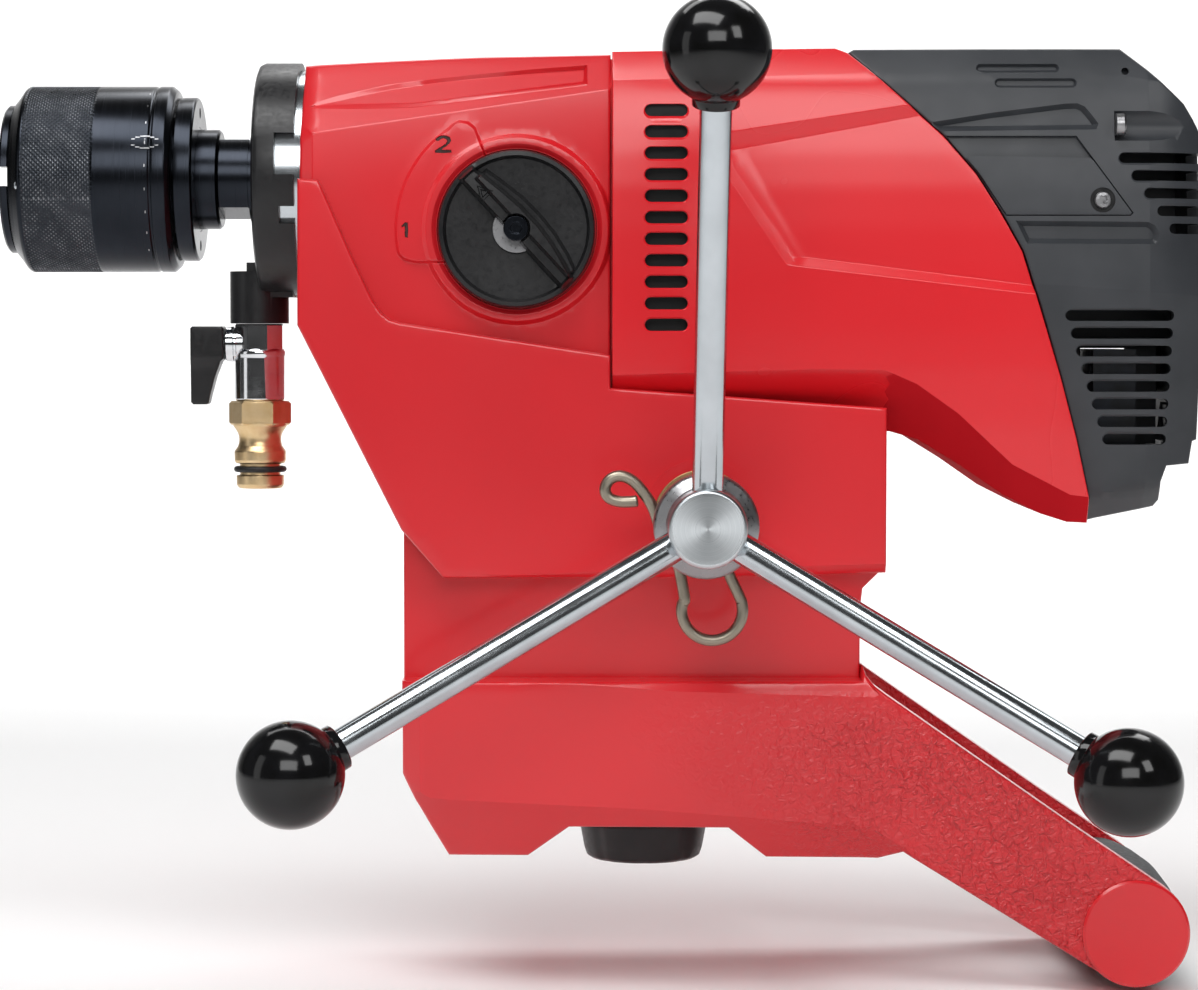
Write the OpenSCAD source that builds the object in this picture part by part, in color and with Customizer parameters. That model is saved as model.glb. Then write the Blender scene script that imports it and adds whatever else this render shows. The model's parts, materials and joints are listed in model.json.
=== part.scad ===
// Rig mounted core drill: drilling machine on a column carriage.
// Frame: origin at the centre of the column channel, +X towards the rear of
// the machine, +Z up, -Y the side that carries the handwheel.

/* [Spindle and gearbox] */
// Height of the spindle axis above the column axis
spindle_z = 165; // [164.5:0.1:165.5]
// Spindle radius in the seals and the front bearing
spindle_r = 15; // [14.5:0.1:15.2]
// Running clearance on radius of shafts in their bearings
run = 0.05; // [0.03:0.01:0.08]
// Tooth module of the two speed gears
gear_m = 1.5; // [1.5:0.1:1.5]
// Teeth of the slow speed gear
low_z = 36; // [36:1:36]
// Teeth of the fast speed gear
high_z = 28; // [28:1:28]

/* [Chuck] */
// Outer radius of the knurled lock sleeve
chuck_r = 32.2; // [31:0.1:33]
// Radius of the bore that takes the core bit shank
chuck_bore_r = 16.5; // [15:0.1:17]
// Depth of that bore
chuck_bore_l = 44; // [30:1:46]
// Width of the driving slot across the front ring
slot_w = 6.6; // [5:0.1:8]

/* [Water feed] */
// Outer radius of the water collar
collar_r = 40.2; // [39:0.1:41]
// Hose nipple tip radius
nipple_r = 8.65; // [8:0.05:8.8]
// Across flats size of the brass hexagon
hex_af = 19; // [18:0.5:19]

/* [Housings] */
// Half width of the gear housing
gear_hw = 48; // [47:0.5:48]
// Half width of the motor housing
motor_hw = 54; // [52:0.5:54]
// Wall thickness of the motor housing
motor_wall = 4; // [3:0.5:4]

/* [Selector] */
// Radius of the selector knob
knob_r = 26.2; // [25:0.1:27]
// Angle of the knob bar at rest
knob_a = 133; // [130:1:136]

/* [Carriage] */
// Side of the square stand column
column_w = 50; // [50:1:50]
// Clearance between column and guide shoes
column_gap = 0.1; // [0.05:0.05:0.2]
// Half width over the side plates
plate_hw = 54; // [53:0.5:55]
// Half width over the lower band and the arms
band_hw = 57; // [56:0.5:58]
// Radius of the round arm ends
arm_end_r = 18.2; // [17:0.1:19]
// Radius of the hand grip at its middle
grip_r = 20; // [18:0.5:20]

/* [Handwheel] */
// Radius from the wheel axis to the ball centres
ball_rad = 147.7; // [140:0.1:150]
// Radius of one ball knob
ball_r = 16.7; // [15:0.1:18]
// Angle by which the spokes lean away from the carriage
spoke_lean = 20.4; // [15:0.1:22]
// Spoke radius
spoke_r = 5; // [4.5:0.1:5.2]

/* [Hidden] */
$fn = 64;
sz = spindle_z;
lz = sz - 36;         // layshaft axis
mz = lz + 28;         // armature axis
wx = 22.8; wz = 49.5; // handwheel axis
kx = -39.3; kz = 146.2; // selector axis
vx = -130.4;          // water valve axis
cc = column_w/2;      // half column
cl = 28;              // half channel
gc = [168.3,-89.6];   // hand grip axis

// ---- placing helpers -------------------------------------------------
module xz(y0,y1) translate([0,y1,0]) rotate([90,0,0]) linear_extrude(y1-y0) children();
module yz(x0,x1) translate([x0,0,0]) rotate([90,0,90]) linear_extrude(x1-x0) children();
module cx(x0,x1,r,y=0,z=0,f=64) translate([x0,y,z]) rotate([0,90,0]) cylinder(h=x1-x0,r=r,$fn=f);
module cy(y0,y1,r,x=0,z=0,f=64) translate([x,y1,z]) rotate([90,0,0]) cylinder(h=y1-y0,r=r,$fn=f);
module cz(z0,z1,r,x=0,y=0,f=64) translate([x,y,z0]) cylinder(h=z1-z0,r=r,$fn=f);
module ringx(x0,x1,ro,ri,y=0,z=0) difference() { cx(x0,x1,ro,y,z); cx(x0-1,x1+1,ri,y,z); }
module ringy(y0,y1,ro,ri,x=0,z=0) difference() { cy(y0,y1,ro,x,z); cy(y0-1,y1+1,ri,x,z); }
module box(x0,x1,y0,y1,z0,z1) translate([x0,y0,z0]) cube([x1-x0,y1-y0,z1-z0]);
// solid of revolution about X at height z, points are [x, radius]
module revx(p,z=0) translate([0,0,z]) rotate([0,90,0]) rotate_extrude($fn=96) polygon([for(q=p)[q[1],q[0]]]);
// solid of revolution about -Y at (x, z), points are [distance along -Y, radius]
module revy(p,x=0,z=0) translate([x,0,z]) rotate([90,0,0]) rotate_extrude($fn=96) polygon([for(q=p)[q[1],q[0]]]);
module both() { children(); mirror([0,1,0]) children(); }

// ---- involute teeth --------------------------------------------------
function inv(a) = tan(a) - a*PI/180;
function toothhalf(r,rp,z,bl) = let(rb=rp*cos(20), rr=max(r,rb))
   90/z - bl/rp*180/PI + (inv(20)-inv(acos(rb/rr)))*180/PI;
function gearpts(z,m,a0,bl) = let(rp=z*m/2, rt=rp+0.62*m, rf=rp-0.9*m, rb=max(rf,rp*cos(20)),
   rs=[rf, rb+0.02, (rb+rp)/2, rp, (rp+rt)/2, rt])
   [for(i=[0:z-1]) let(a=a0+i*360/z) each concat(
     [for(k=[0:5]) let(h=toothhalf(rs[k],rp,z,bl)) rs[k]*[cos(a-h),sin(a-h)]],
     [for(k=[5:-1:0]) let(h=toothhalf(rs[k],rp,z,bl)) rs[k]*[cos(a+h),sin(a+h)]])];
module gear(x0,x1,z,m,a0,cz0,bl=0.12) translate([0,0,cz0]) yz(x0,x1) polygon(gearpts(z,m,a0,bl));

// ---- outlines in the X-Z plane --------------------------------------
gear_out = [[-103.6,97],[-112.4,114.4],[-112.4,163],[-111.8,202.4],[-85.7,203.7],[-53.8,204.9],[-7.9,205.4],[-7.9,97]];
seam = [[71.5,205.6],[78.1,200],[91.5,187.9],[103.2,177.2],[114,164.7],[122.4,151.4],
        [129.5,138.7],[136,117.9],[142.5,96.5],[148,76.1],[152.6,55.8],[153,47.5]];
motor_out = concat([[-7.4,87],[-7.4,206],[67.5,207.2]], seam,
        [[146.2,47.8],[137.6,50.5],[124.5,57.1],[110.3,66.9],[96.1,75.6],[86.9,78.2]]);
rear_out = concat([for(i=[len(seam)-1:-1:0]) seam[i]+[0.5,i==0?0.6:0]],
        [[74,207],[163.7,207.2],[172.7,199.4],[184.5,188.4],[187.8,183.2],[192.3,174.9],[193.2,146.2],
         [190.5,91.8],[190.2,75.6],[188.6,75.1],[187.5,67.5],[179.4,66.9],[177.5,61.5],[178.2,55],
         [176.7,52.7],[157.1,48.6]]);
plate_out = [[-112.6,114.2],[-112.4,163],[-105.4,162.5],[-94.1,136.5],[-87.5,122.6],[-78.2,115.2],
        [-8,104.4],[-8,93.2],[84.4,86.5],[84.4,34.7],[59,33.3],[41,30.3],[8,29.4],[-65,29.7],[-78,45.7]];
core_out = [[-78,45.7],[-104,97],[-9,97],[-9,78],[77,72],[83.6,31.3],[77.6,25.3],[76.7,17.9],[76.7,-54.5],[-78,-45],[-78,0]];
band_out = [[-78,-5],[-78,-36.2],[-62.7,-65.2],[-35.9,-65.2],[-21.9,-54.5],[31.7,-54.5],[44.6,-65.2],
        [82.1,-65.2],[90.3,-62.4],[155.9,-102.9],gc,[179.25,-75.06],[149.5,-54.9],[77.7,-5]];
foot_out = [[-78,0],[-78,-36.2],[-62.7,-65.2],[-35.9,-65.2],[-21.9,-54.5],[31.7,-54.5],[44.6,-65.2],
        [78,-65.2],[76.7,0]];

// ---- gearbox and spindle --------------------------------------------
module bevel_top(g=0) both() translate([-107.8,-gear_hw-g,178.4]) rotate([0,-8.3,0]) rotate([-38.5,0,0])
    translate([-60,-60,g]) cube([260,60,120]);
module gear_block() difference() {
    xz(-gear_hw,gear_hw) polygon(gear_out);
    both() translate([-107.8,-gear_hw,178.4]) rotate([0,-8.3,0]) rotate([-38.5,0,0]) translate([-60,-60,0]) cube([260,60,120]);
}
module gear_housing() color("firebrick") difference() {
    union() {
        gear_block();
        // boss round the selector and the raised scale beside it
        cy(-gear_hw-2.4,-gear_hw+1,31.8,kx,kz);
        intersection() {
            cy(-gear_hw-1.4,-gear_hw+1,40,kx,kz);
            xz(-gear_hw-2,-gear_hw+2) polygon([[kx,kz],[kx-20,kz+60],[kx-70,kz+60],[kx-70,kz-22]]);
        }
    }
    // gear chamber
    box(-95,-6,-38,38,106,180);
    box(-95,-6,-27,27,150,198);
    // front bearing and seal bore
    cx(-114,-94,22.6,0,sz);
    cx(-103.1,-94,12,0,lz);
    // fork rail
    cx(-104,-94,4+run,-31,141);
    // selector bore
    cy(-60,-30,8+run,kx,kz);
    cy(-gear_hw-3,-gear_hw-1,27.2,kx,kz);
    // long shallow wedge on each shoulder
    both() intersection() {
        xz(-60,-20) polygon([[-114,186.9],[-82.9,195],[-53.6,198.5],[-15.7,201.7],[-15.7,194.6],[-41.9,191.6],[-71.4,187.7],[-114,179.9]]);
        translate([-107.8,-gear_hw,178.4]) rotate([0,-8.3,0]) rotate([-38.5,0,0]) translate([-60,-60,-1.6]) cube([260,61.6,120]);
    }
    // tapped holes for the machine bolts and the housing screws
    both() { for (x=[-60,-28]) cz(96,105,4,x,30,24); }
    for (y=[-43,43], z=[112,176]) cx(-22,-6,2.6,y,z,24);
}
module gear_plate() color("silver") difference() {
    union() { box(-17,-7,-37.7,37.7,106.3,179.7); box(-17,-7,-26.7,26.7,150,197.7); }
    cx(-16,-6,16,0,sz); cx(-18,-15,12.5,0,sz);
    cx(-16,-6,12,0,lz); cx(-18,-15,9,0,lz);
    cx(-18,-6,4+run,-31,141);
    for (y=[-22,22], z=[112,192]) cx(-18,-6,2.2,y,z,24);
}
module nose_ring() color("lightgray") difference() {
    union() { cx(-122,-112.4,37.5,0,sz); }
    cx(-123,-111,20,0,sz);
    for (a=[20:60:350]) translate([0,0,sz]) rotate([a,0,0]) cx(-123,-118,2.6,0,30,24);
}
module spindle_bearings() color("gainsboro") {
    bearing(-111.9,-97.5,22.6,spindle_r+run,sz);
    bearing(-16,-8,16,10+run,sz);
}
module bearing(x0,x1,ro,ri,z) {
    d = (ro-ri);
    difference() {
        ringx(x0,x1,ro,ri,0,z);
        for (s=[0,1]) translate([s==0?x0-1:x1-0.8,0,z]) rotate([0,90,0])
            difference() { cylinder(h=1.8,r=ri+d*0.66); translate([0,0,-1]) cylinder(h=4,r=ri+d*0.34); }
    }
}
module spindle_seal() color("black") ringx(-120,-113,20,spindle_r+run,0,sz);
module small_bearings() color("gainsboro") {
    bearing(-103,-95,12,7+run,lz);
    bearing(-16,-8,12,7+run,lz);
    bearing(10,18,12,5+run,mz);
    bearing(124,132,12,5+run,mz);
}
module spindle() color("dimgray") difference() {
    revx([[-168,0],[-168,10],[-167,11],[-143,11],[-143,15.5],[-133,15.5],[-133,spindle_r],[-96,spindle_r],
          [-96,12],[-18,12],[-18,10],[-8,10],[-8,0]],sz);
    // spanner flats
    translate([0,0,sz]) rotate([-10,0,0]) for (s=[-1,1]) translate([-138,0,s*(12+10)]) cube([10.4,60,20],center=true);
    // water way
    cx(-169,-119,4.5,0,sz);
    for (a=[0:90:270]) translate([0,0,sz]) rotate([a,0,0]) cz(0,20,2.4,-122,0,24);
}
module high_gear() color("gray") difference() {
    gear(-30,-18,high_z,gear_m,-90,sz); cx(-31,-17,12.1,0,sz);
}
module low_gear() color("gray") difference() {
    union() { gear(-66,-50,low_z,gear_m,-90,sz); }
    cx(-67,-49,12+run,0,sz);
    ringx(-67,-64,23,16,0,sz);
}
module shift_collar() color("slategray") difference() {
    cx(-45.5,-30.5,20,0,sz);
    cx(-47,-29,12+run,0,sz);
    ringx(-40.2,-35.8,22,16,0,sz);
}
module layshaft() color("gray") difference() { union() {
    cx(-102.6,8,7,0,lz);
    gear(-67,-49,12,gear_m,105,lz);
    gear(-30,-17.2,20,gear_m,99,lz);
    } }
module layshaft_gear() color("gray") difference() {
    gear(-4,6,46,1,90,lz,0.1); cx(-5,7,7.1,0,lz);
    for (a=[30:60:330]) translate([0,0,lz]) rotate([a,0,0]) cx(-5,7,3.5,0,15,24);
}
module selector_shaft() color("silver") {
    cy(-55.6,-37.2,8,kx,kz);
    cy(-37.4,-33.4,2.2,kx+5.23*sin(22.5),kz+5.23*cos(22.5),32);
}
module selector_knob() color("dimgray") difference() {
    union() {
        revy([[51.2,0],[51.2,26.2],[54.2,knob_r],[55.4,knob_r-0.6],[56.2,knob_r-2.2],[56.2,0]],kx,kz);
        // grip bar
        translate([kx,0,kz]) rotate([0,-knob_a,0]) intersection() {
            xz(-66,-55) polygon([[-24.6,-3.2],[-13,-5.4],[-6,-6.7],[6,-6.7],[13,-5.4],[24.6,-3.2],[24.6,3.2],[13,5.4],[6,6.7],[-6,6.7],[-13,5.4],[-24.6,3.2]]);
            cy(-64,-50,knob_r-1.2);
        }
    }
    cy(-70,-59.85,4.8,kx,kz);
    cy(-56,-50,8.1,kx,kz);
    cy(-61,-55,2.6,kx,kz);
}
module selector_screw() color("gray") difference() {
    union() { cy(-62.2,-59.9,4.2,kx,kz); cy(-60,-55.7,2.4,kx,kz,32); }
    cy(-63,-61,2,kx,kz,6);
}
module shift_fork() color("darkkhaki") {
    difference() {
        union() {
            cx(-98,-8,4,-31,141);
            box(-46,-29,-36.5,-32.5,137,160);
            intersection() {
                ringx(-39.8,-36.2,26,16.4,0,sz);
                box(-50,-30,-40,-2,130,200);
            }
            box(-39.8,-36.2,-32.6,-20,150,164);
            box(-39.8,-36.2,-32.6,-27,138,152);
        }
        // slot for the selector pin
        box(-37.3-2.8,-37.3+2.8,-37,-32.55,145.5,157);
    }
}

// ---- chuck -----------------------------------------------------------
module chuck_body() color("dimgray") difference() {
    revx([[-217,0],[-217,24.8],[-216.2,25.6],[-214.2,25.6],[-214.2,24],[-157.2,24],[-157.2,18],[-151,18],[-151,17.3],
          [-144,17.3],[-143.1,16.4],[-143.1,0]],sz);
    cx(-218,-217+chuck_bore_l,chuck_bore_r,0,sz);
    revx([[-218,0],[-218,19.5],[-215,chuck_bore_r],[-215,0]],sz);
    cx(-180,-142,11.1,0,sz);
    // driving slot
    translate([-209.6,0,sz]) cube([14.8,80,slot_w],center=true);
    // pockets of the locking jaws
    for (a=[30,150,270]) translate([0,0,sz]) rotate([a,0,0]) box(-200,-186,-4,4,12,25);
}
module chuck_jaws() color("silver") for (a=[30,150,270]) translate([0,0,sz]) rotate([a,0,0]) difference() {
    box(-199.9,-186.1,-3.9,3.9,17.5,23.6);
    translate([-193,0,24.4]) rotate([0,90,0]) cylinder(h=20,r=1.2,center=true,$fn=24);
}
module chuck_ring() color("dimgray") difference() {
    revx([[-157.1,0],[-157.1,28.2],[-155,28.4],[-151.5,28.4],[-150.8,27.7],[-150.8,0]],sz);
    cx(-160,-149,18.05,0,sz);
    for (a=[0:90:270]) translate([0,0,sz]) rotate([a,0,0]) cx(-152.5,-149,1.8,0,23,24);
}
module chuck_sleeve() color("dimgray") difference() {
    revx([[-213.8,0],[-213.8,26.6],[-209.4,chuck_r],[-159.8,chuck_r],[-157.5,29.6],[-157.5,0]],sz);
    cx(-215,-156,24.05+run/2,0,sz);
    // detent marks
    for (a=[0:36:324]) translate([-164.5,0,sz]) rotate([a,0,0]) translate([0,0,chuck_r]) cube([1.2,1.2,1.2],center=true);
}

// ---- water feed ------------------------------------------------------
module water_collar() color("black") difference() {
    union() {
        revx([[-129.6,0],[-129.6,37.6],[-128.9,39.4],[-127.2,collar_r],[-115,collar_r],[-115,0]],sz);
        cz(114.9,133,10.2,vx,0);
        box(-134,-118,-9,9,124,136);
    }
    // room for the nose ring
    cx(-122.4,-112,37.7,0,sz);
    cx(-131,-120,spindle_r+0.4,0,sz);
    // seal seats and water gallery
    cx(-129.0,-125.6,20,0,sz);
    cx(-125,-122.3,19,0,sz);
    // bayonet notches
    translate([0,0,sz]) for (k=[0,180]) rotate([k,0,0]) {
        intersection() { box(-121.6,-114,-42,-30,0,14.2); ringx(-122,-114,44,36,0,0); }
        intersection() { box(-120,-114,-42,-30,-16.4,-10.6); ringx(-122,-114,44,36,0,0); }
    }
    // water way
    cz(114,129,4,vx,0);
    cx(vx-0.1,-122.6,3,0,126.2);
    cz(126.2,148,2.4,-123.8,0,24);
}
module water_seals() color("dimgray") {
    ringx(-128.9,-125.7,19.95,spindle_r+run,0,sz);
}
module valve_body() color("silver") difference() {
    union() {
        cz(106,114.8,8.8,vx,0,8);
        cz(112.5,114.8,9.4,vx,0);
        cz(104.6,106.4,8.2,vx,0);
        cz(88,105,8.7,vx,0);
        cx(-142,vx,6.2,0,107.7);
    }
    cz(84,120,4,vx,0);
    cz(84,97,6.6,vx,0);
    translate([vx,0,107.7]) sphere(r=6.35,$fn=64);
    cx(-143,vx,2.5+run,0,107.7);
}
module valve_ball() color("gainsboro") difference() {
    union() { translate([vx,0,107.7]) sphere(r=6,$fn=64); cx(-151,vx,2.5,0,107.7); }
    cz(95,120,3.6,vx,0);
}
module valve_lever() color("black") difference() {
    union() {
        cx(-153.7,-142.4,6.2,0,107.7);
        xz(-5.2,5.2) polygon([[-153.7,107.7],[-153.9,88],[-152.7,86.8],[-148.6,86.8],[-147.5,88],[-146.2,97],[-143.2,103.5],[-143,107.7]]);
    }
    cx(-151.1,-141,2.55,0,107.7);
}
module hose_nipple() color("goldenrod") difference() {
    union() {
        cz(79.6,87.9,hex_af/2/cos(30),vx,0,6);
        rotate([0,0,0]) translate([vx,0,0]) rotate_extrude($fn=96) polygon([[0,57.4],[7.4,57.4],[nipple_r,58.8],[nipple_r,62],[7,62],[7,66.2],[9,66.2],
            [9,71.2],[8.4,71.9],[7.5,72.4],[7.5,75.6],[8.6,77.2],[8.6,79.7],[6.5,79.7],[6.5,96.5],[0,96.5]]);
    }
    cz(56,98,4.5,vx,0);
    cz(56,58.4,5.4,vx,0);
}
module nipple_o_ring() color("black") difference() {
    translate([vx,0,64.1]) rotate_extrude($fn=96) translate([8.15,0]) circle(r=1.05,$fn=32);
    cz(60,68,7.02,vx,0);
}

// ---- motor -----------------------------------------------------------
module under_cut(h) {
    both() {
        translate([-20,-h,99]) rotate([49,0,0]) translate([0,-60,-80]) cube([103.9,60,80]);
        translate([84,-h,99]) rotate([0,36.4,0]) rotate([49,0,0]) translate([-0.4,-60,-80]) cube([53.9,60,80]);
        translate([126.6,-h,67.6]) rotate([0,24,0]) rotate([49,0,0]) translate([0,-60,-80]) cube([90,60,80]);
    }
}
module motor_solid(g=0) difference() {
    intersection() {
        xz(-motor_hw+g,motor_hw-g) polygon(motor_out);
        yz(-30,170) polygon([[-motor_hw+g,40],[-motor_hw+g,196-g],[-41+g,208-g],[41-g,208-g],[motor_hw-g,196-g],[motor_hw-g,40]]);
    }
    under_cut(motor_hw-g);
}
motor_in = [[-9,95],[-9,201],[66,202.6],[170,203],[170,52],[147,52],[138.6,54.8],[126.5,61.2],[112,71.2],[97.4,80],[87.6,83]];
module motor_cavity(g=0) difference() {
    intersection() {
        xz(-50,50) polygon(motor_in);
        yz(-30,170) polygon([[-50,40],[-50,194],[-39.5,204],[39.5,204],[50,194],[50,40]]);
    }
    translate([0,0,5.4]) under_cut(50);
}
module slot2(x0,x1,z,h,y0,y1) { box(x0+h/2,x1-h/2,y0,y1,z-h/2,z+h/2); cy(y0,y1,h/2,x0+h/2,z,32); cy(y0,y1,h/2,x1-h/2,z,32); }
module motor_housing() color("red") difference() {
    union() {
        difference() { motor_solid(); motor_cavity(); }
        // lands that hold the field pack
        difference() { intersection() { motor_solid(1); union() { box(44,48,-60,60,60,210); box(76,80,-60,60,60,210); } } cx(40,90,42,0,mz); }
        // air baffles behind the cooling slots
        both() box(1.8,21,-48,-46.3,100,199);
    }
    both() for (i=[0:10]) slot2(3.5,17.8,185.9-i*7.16,4.1,-motor_hw-1,-motor_hw+5.4);
    for (y=[-43,43], z=[112,176]) cx(-9,-2,2.6,y,z,24);
}
module motor_flange() color("silver") difference() {
    intersection() { box(9,19,-46,46,106,196); cx(8,20,52,0,150); }
    cx(9.9,20,12,0,mz); cx(8,11,9,0,mz);
    for (a=[50,90,130,230,270,310]) translate([0,0,mz]) rotate([a,0,0]) cx(8,20,8,0,30,32);
}
module field_pack() color("slategray") difference() {
    cx(38,90,42,0,mz);
    cx(37,91,24.8,0,mz);
    for (s=[-1,1]) translate([0,0,mz]) { box(37,91,-60,60,s>0?38:-60,s>0?60:-38); }
    for (s=[-1,1]) translate([64,s*33,mz]) cube([60,7,26],center=true);
}
module armature_shaft() color("silver") union() {
    cx(9.3,136,5,0,mz);
    cx(7.4,9.4,6.2,0,mz);
    gear(-5,7.5,10,1,-72,mz,0.1);
}
module rotor_core() color("dimgray") difference() {
    cx(36,92,24,0,mz); cx(35,93,5.05,0,mz);
    for (a=[0:30:330]) translate([0,0,mz]) rotate([a,0,0]) box(35,93,-1.2,1.2,20,25);
}
module commutator() color("peru") difference() {
    union() { cx(98,116,15,0,mz); cx(96,98.2,16.5,0,mz); } cx(95,117,5.05,0,mz);
    for (a=[0:15:345]) translate([0,0,mz]) rotate([a,0,0]) box(99,117,-0.3,0.3,13.6,16);
}
module fan() color("black") difference() {
    union() {
        cx(21,31,9,0,mz); cx(28.6,31,37,0,mz);
        for (a=[0:30:330]) translate([0,0,mz]) rotate([a,0,0]) translate([0,0,0]) rotate([0,0,0]) box(21.5,29,-1,1,7,36.5);
    }
    cx(20,32,5.05,0,mz);
}
module end_bridge() color("dimgray") difference() {
    union() { cx(117,122,33,0,mz); cx(121,133,17,0,mz); box(117,122,-48,48,mz-11,mz+11); }
    cx(124,134,12,0,mz); cx(116,125,9,0,mz);
    for (a=[45:90:315]) translate([0,0,mz]) rotate([a,0,0]) cx(116,123,7,0,23,32);
}
module brush_holders() color("goldenrod") both() difference() {
    box(100,116.9,-44,-17,mz-7.5,mz+7.5);
    box(102,112,-45,-16,mz-5.5,mz+5.5);
}
module carbon_brushes() color("black") both() difference() {
    box(102.2,111.8,-34,-15.4,mz-5.3,mz+5.3);
    cy(-35,-32,2.4,107,mz,24);
}
module rear_solid(g=0) intersection() {
    xz(-52.5+g,52.5-g) polygon(rear_out);
    yz(60,200) polygon([[-52.5+g,53],[-52.5+g,193-g],[-39+g,207.6-g],[39-g,207.6-g],[52.5-g,193-g],[52.5-g,53],[44,40],[-44,40]]);
    translate([0,0,0]) linear_extrude(300) polygon([[60,-52.5+g],[176,-52.5+g],[196,-38+g],[196,38-g],[176,52.5-g],[60,52.5-g]]);
}
rear_in = [[60,202.4],[60,53],[157,53],[172.6,57.6],[174,64],[175.6,70.4],[183.4,71.4],[185,79],[186.4,92],[189,146],
        [188.3,173.6],[184,181],[181.4,185],[170,195.6],[162,202.6]];
panel_pts = [[103.9,177.4],[147.7,177.4],[166.6,151.6],[165.6,150.6],[124,150.6],[114.6,164.9]];
module rear_cavity() intersection() {
    xz(-48.5,48.5) polygon(rear_in);
    yz(60,200) polygon([[-48.5,50],[-48.5,191],[-37,203.6],[37,203.6],[48.5,191],[48.5,50]]);
    linear_extrude(300) polygon([[60,-48.5],[174,-48.5],[194,-34],[194,34],[174,48.5],[60,48.5]]);
}
module rear_cover() color("dimgray") difference() {
    union() {
        difference() { rear_solid(); rear_cavity(); }
        // backing of the screw channel
        both() box(158.5,176,-50,-44,174,188.2);
        // stiffening web down the middle
        xz(-1,1) polygon([[144.5,64],[156,64],[156,106.2],[171.5,106.2],[171.5,73],[182.5,73],[182.5,107.5],[188.4,107.5],[190.6,146],[189.9,173.9],[185.6,183],[171.3,197.6],[163.3,204.8],[137.5,204.8],[137.5,107.5]]);
    }
    both() {
        // brush cover seat
        xz(-54,-50.4) polygon(panel_pts);
        xz(-54,-44) polygon([[108,174],[144,174],[159,153.6],[126,153.6],[117,167]]);
        cy(-55,-44,2.2,156.3,155.9,32);
        // shallow grooves beside the panel and on the shoulder
        xz(-54,-51.3) polygon([[98.5,181.8],[102.4,178.9],[154.3,179.5],[155.1,181.5],[152.4,185.1],[148.6,188.2],[144.1,188.2]]);
        xz(-54,-51.3) polygon([[127.2,149],[171.5,148.6],[175.2,144.9],[174.7,141.2],[131,141.4]]);
        // cooling slots
        for (i=[0:4]) slot2(161.9+i*4.2,200,170-i*5.9,3.5,-56,-20);
        for (i=[0:7]) slot2(144.1+i*1.9,180.6-i*0.25,117.4-i*5.93,3.6,-56,-46);
    }
    // screw channel in the rear edge
    cxslot();
    // seat of the rocker switch and of the cord gland
    box(184,200,-11,11,73.3,87.5);
    cx(180,200,9,24,100);
}
module cxslot() both() translate([160.5,-60,175.6]) cube([42,13.6,11]);
module brush_covers() color("dimgray") both() difference() {
    xz(-52.4,-50.45) polygon([[104.4,176.9],[147.4,176.9],[165.6,151.6],[165.2,151.1],[124.3,151.1],[115,165]]);
    cy(-54,-51.4,4.2,156.3,155.9,32);
    cy(-54,-50,2.2,156.3,155.9,32);
}
module cover_screws() color("gray") {
    both() difference() {
        union() { cy(-52.9,-51.4,2.8,156.3,155.9,32); cy(-51.5,-46.4,1.9,156.3,155.9,24); }
        cy(-54,-52.2,1.3,156.3,155.9,6);
    }
    both() difference() {
        cx(160.6,163.9,3.8,-50.3,181.1,32);
        cx(163,166,1.6,-50.3,181.1,6);
    }
}
module housing_screws() color("gray") for (y=[-43,43], z=[112,176]) { cx(-21,-2.1,2.55,y,z,24); cx(-2.1,1.4,4.4,y,z,32); }
module control_module() color("darkgreen") difference() {
    box(156.5,171,-30,30,62,106);
    for (s=[-1,1]) cx(150,175,3,s*24,100,24);
}
module cord_gland() color("black") difference() {
    union() { cx(180.5,190.6,8.9,24,100); cx(179.2,180.6,11.5,24,100); cx(190,192.4,7.2,24,100); }
    cx(170,200,4.2,24,100);
}
module power_switch() color("black") difference() {
    union() { box(186.6,192.4,-10.4,10.4,74.2,86.4); xz(-10.4,10.4) polygon([[192.3,74.2],[193.4,74.2],[192.6,80.3],[195.4,86.4],[192.3,86.4]]); }
    cy(-12,12,1.5,188.6,80.3,24);
}

// ---- carriage --------------------------------------------------------
module crease_cut(h) both() translate([-67.7,-h,-43.9]) rotate([0,4.2,0]) rotate([26,0,0]) translate([-40,-60,-60]) cube([148,60,60]);
module carriage() color("firebrick") difference() {
    union() {
        xz(-42,42) polygon(core_out);
        both() xz(-plate_hw,-gear_hw) polygon(plate_out);
        both() xz(-plate_hw,-40) intersection() { polygon(plate_out); polygon(core_out); }
        both() xz(-plate_hw,-41) polygon([[-104,97],[-78,45.7],[-65,29.7],[8,29.4],[41,30.3],[59,33.3],[83,34.6],[77,72],[-9,78],[-9,97]]);
        difference() { both() { xz(-band_hw,-45) union() { polygon(band_out); translate(gc) circle(r=arm_end_r); } } crease_cut(band_hw); }
        difference() { xz(-46,46) polygon(foot_out); }
        both() cy(-plate_hw-0.6,-12.6,20,wx,wz);
    }
    // column channel with the rack groove in its roof
    box(-130,130,-cl,cl,-cl,cl);
    box(-130,130,-10,10,20,37);
    // room for the pinion
    cy(-12.5,12.5,19.5,wx,wz);
    box(wx-19.5,wx+19.5,-12.5,12.5,20,wz);
    // weight pockets
    xz(-37,37) polygon([[-72,42],[-46,42],[-46,20],[0,20],[0,70],[-14,88],[-72,88]]);
    xz(-36,36) polygon([[47,34],[70,34],[70,90],[47,90]]);
    both() { box(-90,-30,-52,-34,-40,-11); box(44,76.8,-40,-33,-44,-11); }
    // feed shaft bores
    both() cy(-60,-12,13,wx,wz);
    // brake shoe pocket and clamp screw
    box(-19.9,27.1,-16,16,-36.2,-20);
    cz(-60,-30,5+run,3.6,0);
    cz(-60,-56,23,3.6,0);
    // machine bolts
    both() for (x=[-60,-28]) cz(80,98,4.4,x,30,32);
    // hand grip tube
    cy(-70,70,12.1,gc[0],gc[1]);
}
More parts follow.
